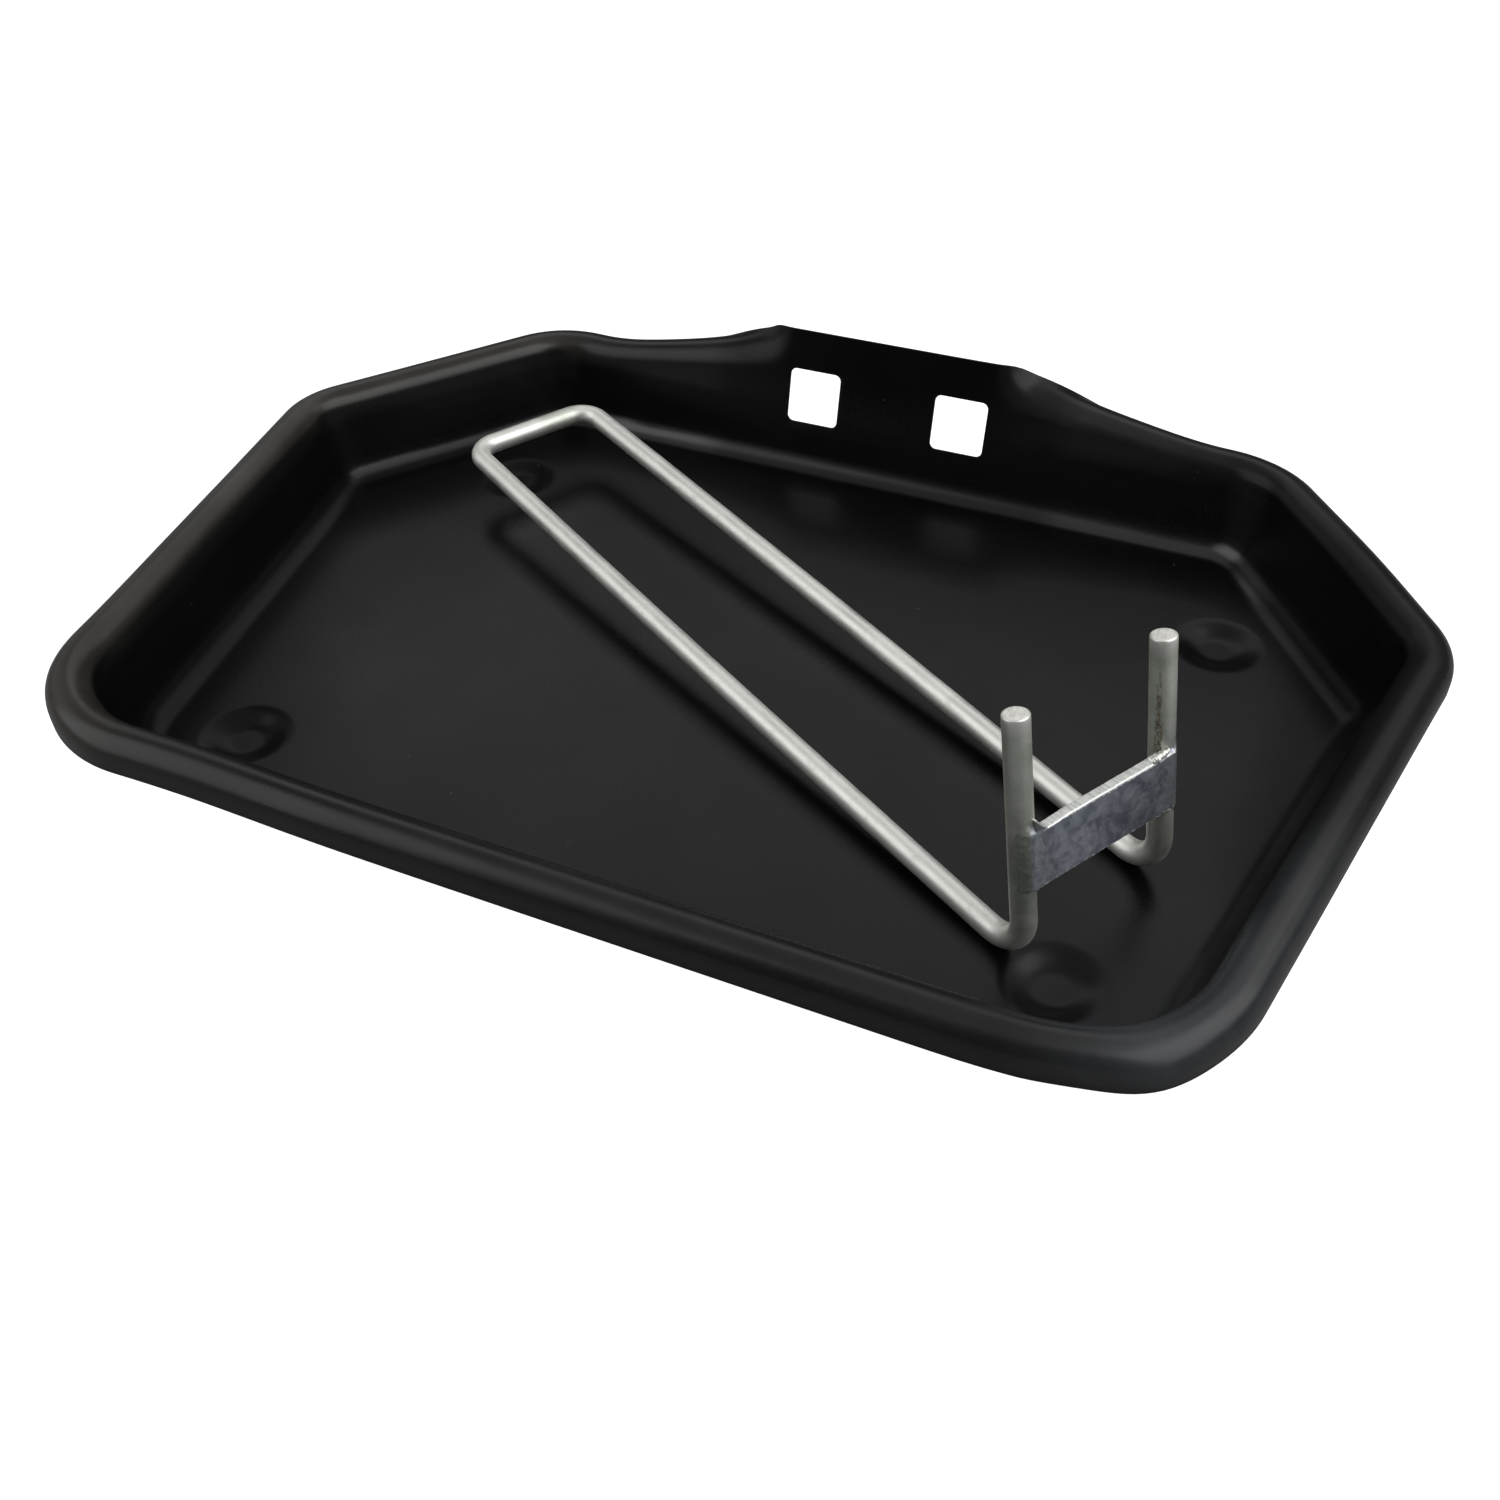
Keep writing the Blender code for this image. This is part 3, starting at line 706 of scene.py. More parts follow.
def rod_marks(place):
    """Stain, heat and grey at a point of the rod, each 0 to 1."""
    stain = heat = grey = 0.0
    # foot, sign towards the other prong, strength of the stain, its angle round from OUT
    for foot, inward, gain, lean in ((LEFT, 1, 1.0, 1.10), (RIGHT, -1, 0.10, 0.9)):
        d = place - foot
        up = d.dot(PRONG)
        if (d - PRONG * up).length > ROD_R * 1.2:
            continue
        ends = clamp((up - 5.0 * MM) / (9.0 * MM))
        ends *= clamp((PRONG_LEN - 0.4 * MM - up) / (5.0 * MM))
        grey = max(grey, smoothstep(ends))
        rise = up - PLATE_TOP
        if rise > -1.0 * MM:
            # a streak that narrows up the prong from the bar
            angle = math.atan2(d.dot(ACROSS) * inward, d.dot(OUT))
            fade = max(0.0, 1.0 - rise / (30.0 * MM))
            width = 0.13 + 0.20 * fade * fade
            stain = max(stain, gain * fade ** 0.7 * math.exp(-((angle - lean) / width) ** 2))
        edge = min(abs(rise), abs(up - PLATE_LOW))
        behind_bar = 1.0 if abs(up - PLATE_UP) < PLATE_W / 2 else 0.0
        heat = max(heat, math.exp(-(edge / (6.5 * MM)) ** 2), behind_bar)
    # a greyer length on the crossbar
    d = place - (LEFT + ARM * ARM_LEN)
    if abs(d.dot(ARM)) < 5.0 * MM:
        along = d.dot(ACROSS) / MM
        grey = max(grey, clamp((along - 4.0) / 3.0) * clamp((24.0 - along) / 5.0))
    return stain, heat, grey


# --------------------------------------------------------- bracket: the flat bar
def rounded_section():
    """Outline of the flat bar's section as (up, out) points, corner by corner."""
    half, thick = PLATE_W / 2, PLATE_T / 2
    # outer top, inner top, inner bottom, outer bottom: up, out, radius
    corners = ((half, thick, 0.55 * MM), (half, -thick, 0.18 * MM),
               (-half, -thick, 0.22 * MM), (-half, thick, 0.40 * MM))
    arcs = []
    for i, (up, out, radius) in enumerate(corners):
        cx, cy = up - math.copysign(radius, up), out - math.copysign(radius, out)
        angles = [0.5 * math.pi * (1 - k / 5 - i) for k in range(6)]
        arcs.append([(cx + radius * math.cos(a), cy + radius * math.sin(a)) for a in angles])
    outline = []
    for arc, after in zip(arcs, arcs[1:] + arcs[:1]):
        outline += arc
        (x0, y0), (x1, y1) = arc[-1], after[0]
        count = max(1, int(math.hypot(x1 - x0, y1 - y0) / (0.55 * MM)))
        outline += [(x0 + (x1 - x0) * k / count, y0 + (y1 - y0) * k / count)
                    for k in range(1, count)]
    return outline


def worn_section(x, up, out, shrink):
    """A section point at x along the bar, with end rounding, shear lines and unevenness."""
    y = up - math.copysign(shrink, up) if abs(up) > PLATE_W / 2 - 0.7 * MM else up
    z = out - math.copysign(shrink, out) if abs(out) > PLATE_T / 2 - 0.7 * MM else out
    # shear lines on the long edges
    edge = max(0.0, (abs(up) - (PLATE_W / 2 - 0.6 * MM)) / (0.6 * MM))
    lines = noise.noise(Vector((x * 1400.0, out * 160.0, 3.0 if up > 0 else 9.0))) * 0.10
    swell = noise.noise(Vector((x * 300.0, 2.0, 1.0 if up > 0 else 4.0))) * 0.12
    y += math.copysign(1.0, up) * (lines + swell) * MM * edge
    if up > 0.0:
        # the top edge sags towards the right end
        sag = clamp((x - 11.0 * MM) / (8.5 * MM))
        y -= 0.4 * MM * smoothstep(sag) * min(1.0, up / (PLATE_W / 2))
    wave = noise.noise(Vector((x * 150.0, up * 150.0, 7.0 if out > 0 else 2.0))) * 0.05 * MM
    wave += noise.noise(Vector((x * 700.0, up * 700.0, 1.0 if out > 0 else 5.0))) * 0.015 * MM
    z += math.copysign(1.0, out) * wave * (1.0 - edge)
    return y, z


def build_plate(mats):
    middle = BASE + PRONG * PLATE_UP + OUT * (PLATE_SEAT + PLATE_T / 2)
    section = rounded_section()
    half = PLATE_L / 2
    # rounding of the two ends, in mm: distance from the end, section drawn in
    ends = [(at * MM, shrink * MM) for at, shrink in
            ((0.0, 0.34), (0.07, 0.18), (0.2, 0.06), (0.4, 0.0))]
    stations = [(-half + at, shrink) for at, shrink in ends]
    stations += [(x, 0.0) for x in spaced(-half + 0.9 * MM, half - 0.9 * MM, 0.5 * MM)]
    stations += [(half - at, shrink) for at, shrink in reversed(ends)]
    skin = Skin()
    rings = []
    for x, shrink in stations:
        places = []
        for up, out in section:
            y, z = worn_section(x, up, out, shrink)
            places.append(middle + ACROSS * x + PRONG * y + OUT * z)
        rings.append(skin.add(places))
    for k in range(len(rings) - 1):
        low, high = rings[k], rings[k + 1]
        u0, u1 = stations[k][0], stations[k + 1][0]
        for j, t in loop_pairs(len(section)):
            v0, v1 = sum(section[j]), sum(section[t])
            sheared = abs(section[j][0] + section[t][0]) / 2 > PLATE_W / 2 - 0.30 * MM
            skin.face([low[j], high[j], high[t], low[t]],
                      [(u0, v0), (u1, v0), (u1, v1), (u0, v1)], slot=int(sheared))
    for ring, flip in ((rings[0], False), (rings[-1], True)):
        skin.face(ring, [(0.0, 0.0)] * len(section), slot=1, flip=flip)
    ob = skin.build("cross_bar", mats, 40.0)
    face_outwards(ob)
    # local place on the bar, for the finish: across, up, out
    place = ob.data.attributes.new("place", "FLOAT_VECTOR", "POINT")
    values = []
    for v in ob.data.vertices:
        d = v.co - middle
        values += [d.dot(ACROSS), d.dot(PRONG), d.dot(OUT)]
    place.data.foreach_set("vector", values)
    return ob


# ------------------------------------------------------------- bracket: the welds
def on_prong(foot, side, across, up, out):
    """Place by a prong; side is -1 left or 1 right, and across grows away from the other."""
    return foot + ACROSS * (side * across) + PRONG * up + OUT * out


def melt(ob, voxel, steps):
    """Melts overlapping shapes into one closed skin."""
    mod = ob.modifiers.new("melt", "REMESH")
    mod.mode = "VOXEL"
    mod.voxel_size = voxel
    mod.use_smooth_shade = True
    soften = ob.modifiers.new("soften", "SMOOTH")
    soften.factor = 0.5
    soften.iterations = steps
    bake(ob)


def dress(ob, mat):
    # the remesh may have dropped the material
    if not ob.data.materials:
        ob.data.materials.append(mat)
    shade_smooth(ob.data)


def build_bead(name, foot, side, edge, drops, mat, voxel, rough, seed, steps):
    """Weld bead of overlapping drops on the bar's edge.

    Each drop is (across, rise from the edge, depth behind the face, radius, stretch up the
    prong), in mm except the stretch.
    """
    skin = Skin()
    for across, rise, depth, radius, stretch in drops:
        centre = on_prong(foot, side, across * MM, edge + rise * MM, FACE_OUT - depth * MM)
        ball = bmesh.new()
        bmesh.ops.create_icosphere(ball, subdivisions=3, radius=radius * MM)
        index = skin.add([centre + (v.co + PRONG * (v.co.dot(PRONG) * (stretch - 1.0)))
                          for v in ball.verts])
        for f in ball.faces:
            skin.face([index[v.index] for v in f.verts])
        ball.free()
    ob = skin.build(name, [mat], 180.0)
    melt(ob, voxel * MM, steps)
    for v in ob.data.vertices:
        d = noise.noise(v.co * 900.0 + Vector((seed, 0, 0))) * rough * MM
        d += noise.noise(v.co * 2200.0 + Vector((0, seed, 0))) * rough * MM * 0.4
        v.co += v.normal * d
    dress(ob, mat)
    ob.data.update()
    return ob


def corner_crest(share):
    """Height in mm of the right top corner's melted metal, from the rod along the bar."""
    return 3.3 * (1.0 - share) ** 1.7 - 0.7 * share


def left_top_drops():
    """A rough bright bead at the end of the bar's top edge."""
    drops = []
    for k in range(13):
        f = k / 12
        across = -7.2 + 5.4 * f
        lift = 0.10 + 0.75 * f * f + 0.18 * math.sin(19 * f)
        size = (0.62 + 0.42 * math.sin(math.pi * min(1.0, 0.25 + 0.8 * f))
                + 0.10 * math.sin(31 * f))
        drops.append((across, lift, 0.75, size, 1.0))
        if k % 2:
            drops.append((across - 0.4, lift * 0.6, 1.7, size * 0.9, 1.0))
    return drops


def left_bottom_drops():
    """A short lip, with one long drop by the rod."""
    drops = [(-6.0 + 4.6 * f, 0.35 * math.sin(math.pi * f) - 0.05, 0.55,
              0.42 + 0.16 * math.sin(9 * f), 1.0) for f in (k / 7 for k in range(8))]
    return drops + [(-1.3, -0.35, 0.7, 0.60, 1.4)]


def right_top_drops():
    """A smooth bright line down the melted corner."""
    drops = []
    for f in (k / 15 for k in range(16)):
        across, crest = -1.3 - 4.2 * f, corner_crest(f)
        drops.append((across, crest - 0.22, 0.55, 0.36 + 0.10 * math.sin(math.pi * f), 1.0))
        drops.append((across, crest - 0.25, 1.3, 0.42, 1.0))
    return drops


def right_bottom_drops():
    """A low fillet with a few rough grains."""
    return [(-3.4 + 3.9 * f, -(0.05 + 0.30 * math.sin(math.pi * f)), 0.75 + 0.35 * f,
             0.50 + 0.12 * math.sin(13 * f), 1.0) for f in (k / 8 for k in range(9))]


def flow_height(across, up, fades):
    """How far out the melted metal stands; fades are its run-out lengths in mm."""
    face_end = -1.2 * MM
    if across <= face_end:
        share = clamp((face_end - across) / (4.0 * MM))
        melted = FACE_OUT + (0.06 - 0.15 * share) * MM
    else:
        # cubic from the bar's face down to the rod's side
        t = (across - face_end) / (4.3 * MM)
        start, end, end_slope = FACE_OUT + 0.06 * MM, 1.655 * MM, -8.2 * MM
        melted = (start * (2 * t ** 3 - 3 * t * t + 1) + end * (3 * t * t - 2 * t ** 3)
                  + end_slope * (t ** 3 - t * t))
    rod = math.sqrt(max(0.0, ROD_R * ROD_R - across * across)) - 0.10 * MM
    top_in, top_out, low_in, low_out = fades
    outer = clamp((across - 0.2 * MM) / (1.0 * MM))
    past = 0.0
    if up > PLATE_TOP - 0.3 * MM:
        past = (up - PLATE_TOP + 0.3 * MM) / ((top_in + (top_out - top_in) * outer) * MM)
    elif up < PLATE_LOW + 0.3 * MM:
        past = (PLATE_LOW + 0.3 * MM - up) / ((low_in + (low_out - low_in) * outer) * MM)
    return rod + (melted - rod) * max(0.0, 1.0 - past) ** 2


def closed_shell(skin, top, low):
    """Joins two equal grids of points into one closed skin."""
    top, low = [[skin.add(row) for row in grid] for grid in (top, low)]
    rows, columns = len(top) - 1, len(top[0]) - 1
    for j in range(rows):
        for i in range(columns):
            skin.face([top[j][i], top[j][i + 1], top[j + 1][i + 1], top[j + 1][i]])
            skin.face([low[j][i], low[j + 1][i], low[j + 1][i + 1], low[j][i + 1]])
    for j in range(rows):
        for i in (0, columns):
            skin.face([top[j][i], top[j + 1][i], low[j + 1][i], low[j][i]], flip=i > 0)
    for i in range(columns):
        for j in (0, rows):
            skin.face([top[j][i], low[j][i], low[j][i + 1], top[j][i + 1]], flip=j > 0)


def keep_largest(ob):
    """Drops the crumbs that the voxel remesh leaves beside the main skin."""
    with edited(ob) as bm:
        seen, islands = set(), []
        for start in bm.verts:
            if start in seen:
                continue
            seen.add(start)
            island, stack = [start], [start]
            while stack:
                vert = stack.pop()
                for edge in vert.link_edges:
                    other = edge.other_vert(vert)
                    if other not in seen:
                        seen.add(other)
                        island.append(other)
                        stack.append(other)
            islands.append(island)
        islands.sort(key=len, reverse=True)
        crumbs = [v for island in islands[1:] for v in island]
        bmesh.ops.delete(bm, geom=crumbs, context="VERTS")


def build_flow(name, foot, side, fades, gusset, mat, seed):
    """The end of the bar melted onto its prong: one smooth skin from the bar's face to the rod.

    fades: run-out lengths in mm past the top (inner, outer) and bottom (inner, outer) edges.
    """
    def place(across, up, out):
        return on_prong(foot, side, across, up, out)

    skin = Skin()
    top, low = [], []
    for up in spaced(PLATE_LOW - 4.5 * MM, PLATE_TOP + 6.6 * MM, 0.25 * MM):
        on_bar = PLATE_LOW + 0.4 * MM <= up <= PLATE_TOP - 0.4 * MM
        inner = -5.2 if on_bar else -2.8
        row = []
        for i in range(31):
            across = (inner + (3.15 - inner) * i / 30) * MM
            row.append((across, flow_height(across, up, fades)))
        top.append([place(across, up, out) for across, out in row])
        low.append([place(across, up, out - 0.75 * MM) for across, out in row])
    closed_shell(skin, top, low)
    if gusset:
        # concave corner between the bar's top edge and the rod
        top, low = [], []
        for share in (i / 14 for i in range(15)):
            across = (-1.0 - 4.6 * share) * MM
            crest = PLATE_TOP + corner_crest(share) * MM
            for grid, up in ((top, crest), (low, PLATE_TOP - 3.2 * MM)):
                grid.append([place(across, up, out * MM) for out in (1.7, 2.5, 3.4, 4.1, 4.44)])
        closed_shell(skin, top, low)
    ob = skin.build(name, [mat], 180.0)
    face_outwards(ob)
    melt(ob, 0.17 * MM, 4)
    keep_largest(ob)
    moved = []
    for v in ob.data.vertices:
        wave = noise.noise(v.co * 420.0 + Vector((seed, 0, 0))) * 0.05
        wave += noise.noise(v.co * 1300.0) * 0.02
        moved.extend(v.co + v.normal * wave * MM)
    ob.data.vertices.foreach_set("co", moved)
    dress(ob, mat)
    # to_rod: how far the metal has gone over to the rod's colour
    # dim: darker on the left prong, and painted shade on the ledges that face up, toning down their
    # highlight
    to_rod, dim = [], []
    for v in ob.data.vertices:
        d = v.co - foot
        across, up = side * d.dot(ACROSS), d.dot(PRONG)
        past = max(up - PLATE_TOP - 0.4 * MM, PLATE_LOW - 0.6 * MM - up) / (2.0 * MM)
        to_rod.append(max(smoothstep(clamp((across + 0.6 * MM) / (2.4 * MM))), clamp(past)))
        ledge = clamp((up - PLATE_TOP + 0.9 * MM) / (0.8 * MM))
        ledge *= clamp((1.5 * MM - across) / (2.0 * MM))
        dim.append(max(0.42 if side < 0 else 0.10, 0.55 * ledge))
    point_values(ob, "to_rod", to_rod)
    point_values(ob, "dim", dim)
    ob.data.update()
    return ob


def build_welds(mat, flow_mat):
    """Beads by CAD node name, and the two melted ends of the bar."""
    # place, foot, side, edge, drops, material, voxel mm, roughness mm, noise seed, smoothing
    table = (
        ("left_top", LEFT, -1.0, PLATE_TOP, left_top_drops(), mat, 0.16, 0.15, 3.0, 1),
        ("left_bottom", LEFT, -1.0, PLATE_LOW, left_bottom_drops(), mat, 0.15, 0.06, 7.0, 2),
        ("right_top", RIGHT, 1.0, PLATE_TOP, right_top_drops(), mat, 0.15, 0.03, 11.0, 3),
        ("right_bottom", RIGHT, 1.0, PLATE_LOW, right_bottom_drops(), flow_mat,
         0.15, 0.07, 15.0, 2))
    beads = {"weld_" + row[0]: build_bead("bead_" + row[0], *row[1:]) for row in table}
    flows = [build_flow("weld_flow_right", RIGHT, 1.0, fades=(3.4, 4.2, 1.4, 1.8),
                        gusset=True, mat=flow_mat, seed=21.0),
             build_flow("weld_flow_left", LEFT, -1.0, fades=(1.2, 6.2, 0.5, 4.2),
                        gusset=False, mat=flow_mat, seed=25.0)]
    return beads, flows


# -------------------------------------------------------------- material helpers
class Signal:
    """An output socket; arithmetic and the methods below add nodes fed by it."""

    def __init__(self, net, socket):
        self.net, self.socket = net, socket

    def __getitem__(self, key):
        """Another output of the same node."""
        return Signal(self.net, self.socket.node.outputs[key])

    def math(self, operation, other=0.0):
        return self.net.node("Math", {0: self, 1: other}, operation=operation)

    def __add__(self, other):
        return self.math("ADD", other)

    def __sub__(self, other):
        return self.math("SUBTRACT", other)

    def __rsub__(self, other):
        return self.net.node("Math", {0: other, 1: self}, operation="SUBTRACT")

    def __mul__(self, other):
        return self.math("MULTIPLY", other)

    def __abs__(self):
        return self.math("ABSOLUTE")

    def max(self, other):
        return self.math("MAXIMUM", other)

    def ramp(self, over, to=(0.0, 1.0)):
        """Smooth step across the first range, carried to the second."""
        return self.net.node(
            "MapRange", {"Value": self, "From Min": over[0], "From Max": over[1],
                         "To Min": to[0], "To Max": to[1]},
            out="Result", clamp=True, interpolation_type="SMOOTHSTEP")

    def noise(self, scale=1.0, detail=2.0, rough=0.5, distort=0.0):
        return self.net.node(
            "TexNoise", {"Vector": self, "Scale": scale, "Detail": detail,
                         "Roughness": rough, "Distortion": distort}, out="Fac")

    def scaled(self, scale, turn=0.0):
        return self.net.node("Mapping", {"Vector": self, "Scale": scale,
                                         "Rotation": (0.0, 0.0, turn)})

    def near(self, point, radii):
        """1 within the first radius of a point, falling to 0 at the second."""
        away = self.net.node("VectorMath", {0: self, 1: point}, "Value", operation="DISTANCE")
        return away.ramp(over=radii, to=(1.0, 0.0))

    def bump(self, strength, depth, on=None):
        inputs = {"Strength": strength, "Distance": depth, "Height": self}
        if on is not None:
            inputs["Normal"] = on
        return self.net.node("Bump", inputs)


class Net:
    """The shader nodes of a material or world."""

    def __init__(self, owner):
        owner.use_nodes = True
        self.owner = owner
        self.nodes, self.links = owner.node_tree.nodes, owner.node_tree.links

    def fill(self, node, inputs):
        for key, value in inputs.items():
            target = node.inputs[key]
            if isinstance(value, Signal):
                self.links.new(value.socket, target)
            elif target.type == "RGBA":
                target.default_value = (*value, 1.0)
            else:
                target.default_value = value

    def node(self, kind, inputs=None, out=0, **props):
        node = self.nodes.new("ShaderNode" + kind)
        for name, value in props.items():
            setattr(node, name, value)
        self.fill(node, inputs or {})
        return Signal(self, node.outputs[out])

    def place(self):
        return self.node("TexCoord", out="Object")

    def uv(self):
        return self.node("UVMap", uv_map="sheet")

    def attribute(self, name, out="Fac"):
        return self.node("Attribute", out=out, attribute_name=name)

    def surface(self, inputs):
        """Feeds the surface shader and returns the material."""
        self.fill(self.nodes["Principled BSDF"], inputs)
        return self.owner


def new_net(name):
    return Net(bpy.data.materials.new(name))


def mix(factor, first, second, blend="MIX"):
    return factor.net.node("Mix", {0: factor, 6: first, 7: second}, out=2,
                           data_type="RGBA", blend_type=blend)


# -------------------------------------------------------------- material: paint
def paint_marks(obj, uv, above):
    """Rubbed spots on the rim, a painted highlight beside the tab and faint dry scratches, 0 to 1."""
    # rubbed corner at the front right
    corner = obj.near((FRONT_HALF + 4 * MM, TRAY_LO.y + 14 * MM, FLOOR_Z + 30 * MM),
                      radii=(8 * MM, 36 * MM)) * above(19, 27)
    streak = uv.scaled((330.0, 34.0, 1.0)).noise(detail=3.0, rough=0.6)
    patch = obj.noise(scale=75.0)
    cloud = obj.noise(scale=48.0).ramp(over=(0.34, 0.66), to=(0.12, 0.60))
    rub = corner * (streak.ramp(over=(0.40, 0.74)) * patch.ramp(over=(0.36, 0.62), to=(0.0, 0.45))
                    + cloud)
    # painted highlight: grainy paler patches where the roll ends beside the tab
    left, right = [obj.near((x, TRAY_HI.y - 6 * MM, FLOOR_Z + 33 * MM), radii=(3 * MM, 21 * MM))
                   for x in (-0.062, 0.060)]
    grain = obj.scaled((60.0, 60.0, 150.0)).noise(detail=3.0, rough=0.55)
    tab_painted_highlight = left.max(right) * grain.ramp(over=(0.50, 0.74))
    # scratches in two directions over the whole sheet
    along = obj.scaled((26.0, 1150.0, 26.0), turn=0.62).noise()
    cross = obj.scaled((900.0, 21.0, 21.0), turn=-0.35).noise()
    scratch = (along.ramp(over=(0.735, 0.78)).max(cross.ramp(over=(0.74, 0.785)))
               * obj.noise(scale=11.0).ramp(over=(0.52, 0.70)))
    return (rub * 0.80).max(tab_painted_highlight * 0.28).max(scratch * 0.30)


def paint_colour(net, obj, tone, facing, marks, above):
    axes = net.node("SeparateXYZ", {0: obj})
    x, y = axes[0], axes[1]
    fine = obj.noise(scale=160.0, detail=5.0, rough=0.6)
    black = mix(fine.ramp(over=(0.35, 0.75), to=(0.0, 0.35)), (0.0020,) * 3, (0.0030,) * 3)
    toned = net.node("CombineColor", {0: tone, 1: tone, 2: tone})
    colour = net.node("Mix", {0: 1.0, 6: black, 7: toned}, out=2,
                      data_type="RGBA", blend_type="MULTIPLY")
    # painted sheen on the rim's top and outer side, a paler colour standing in for light: warm at the
    # left, cool at the front right
    warm, neutral, cool = (0.0320, 0.0292, 0.0260), (0.0120, 0.0121, 0.0121), (0.0270, 0.0285, 0.0305)
    rim = above(22, 29) * facing.ramp(over=(-0.97, -0.80))
    rim_painted_sheen = rim * obj.noise(scale=30.0, detail=3.0, rough=0.55).ramp(over=(0.30, 0.70), to=(0.55, 1.0))
    rim_sheen_colour = mix(x.ramp(over=(-0.15, -0.11)), warm, neutral)
    rim_sheen_colour = mix(x.ramp(over=(0.12, 0.16)) * y.ramp(over=(-0.01, -0.07)), rim_sheen_colour, cool)
    colour = mix(rim_painted_sheen, colour, rim_sheen_colour)
    # painted light: paler foot of the wall at the front right
    front_right_painted_light = x.ramp(over=(0.125, 0.150)) * y.ramp(over=(0.05, -0.02))
    colour = mix(above(0.1, 1.5) * above(22, 10) * front_right_painted_light, colour, (0.021,) * 3)
    # rubs, scratches and the painted highlight by the tab, in one paler colour
    colour = mix(marks, colour, (0.040, 0.044, 0.050))
    # dust motes
    cell = net.node("TexVoronoi", {"Vector": obj, "Scale": 95.0}, feature="F1")
    pick = net.node("SeparateXYZ", {0: cell["Color"]})
    mote = (cell["Distance"].ramp(over=(0.022, 0.034), to=(1.0, 0.0))
            * pick.ramp(over=(0.80, 0.84)))
    return mix(mote * 0.5, colour, (0.12, 0.12, 0.115))


def painted_light_sheen(x, y, facing, above):
    """Sheen level by place, which paints light and shade into the paint: fullest on the rim, less on
    the floor, least on the walls and the rim's inner slope.
    """
    # painted shade: the floor's sheen falls off towards the left and towards the back
    floor = (x.ramp(over=(-0.150, -0.090), to=(0.50, 0.80))
             * y.ramp(over=(0.02, 0.10), to=(1.0, 0.80)))
    wall = above(4, 9) * above(25, 21)
    tab = abs(x).ramp(over=(0.075, 0.060)) * y.ramp(over=(0.105, 0.112))
    wall = wall.max(tab)
    raised = above(2, 5)
    level = (1.0 - raised) * floor + raised * 1.08
    # painted highlight along the crease at the foot of the back wall
    back_crease_highlight = above(0.05, 0.6) * above(6, 3) * y.ramp(over=(0.09, 0.105))
    level = level + back_crease_highlight * 1.6
    # painted shade on the walls and the tab
    level = level * (1.0 - wall * 0.45)
    # painted shade over the highlight on the rim's inner slope at the right
    inner = facing.ramp(over=(0.02, -0.34)) * above(20, 26)
    level = level * (1.0 - inner * x.ramp(over=(0.07, 0.13)) * 0.52)
    # painted shade on the rim along the right side
    right_side = x.ramp(over=(0.150, 0.172)) * y.ramp(over=(-0.07, -0.03))
    return level * (1.0 - right_side * 0.40)


def black_paint():
    """Satin black powder coat over pressed sheet."""
    net = new_net("tray_black_paint_fine")
    obj, uv = net.place(), net.uv()
    axes = net.node("SeparateXYZ", {0: obj})

    def above(low, high):
        """0 to 1 between two heights over the floor, in mm."""
        return axes[2].ramp(over=(FLOOR_Z + low * MM, FLOOR_Z + high * MM))

    # how far the surface faces away from the tray's middle
    level = net.node("VectorMath", {0: obj, 1: (1.0, 1.0, 0.0)}, operation="MULTIPLY")
    outward = net.node("VectorMath", {0: level}, operation="NORMALIZE")
    facing = net.node("VectorMath", {0: outward, 1: net.node("NewGeometry", out="Normal")},
                      out="Value", operation="DOT_PRODUCT")
    cloud = obj.noise(scale=22.0, detail=4.0, rough=0.55)
    grain = obj.noise(scale=1500.0, detail=3.0, rough=0.6)
    tone = (cloud.ramp(over=(0.3, 0.7), to=(0.88, 1.10))
            + grain.ramp(over=(0.2, 0.8), to=(-0.07, 0.07)))
    marks = paint_marks(obj, uv, above)
    rough = (cloud.ramp(over=(0.25, 0.75), to=(0.275, 0.335))
             + grain.ramp(over=(0.2, 0.8), to=(-0.03, 0.03)))
    peel = obj.noise(scale=620.0, rough=0.55).bump(strength=0.35, depth=0.06 * MM)
    slow = obj.noise(scale=34.0, detail=1.0, rough=0.4).bump(strength=0.10, depth=0.6 * MM, on=peel)
    return net.surface({
        "Base Color": paint_colour(net, obj, tone, facing, marks, above),
        "Roughness": rough + marks * 0.16,
        "IOR": 1.5,
        "Specular IOR Level": painted_light_sheen(axes[0], axes[1], facing, above) * 0.33,
        "Normal": (1.0 - marks).bump(strength=0.25, depth=0.04 * MM, on=slow)})


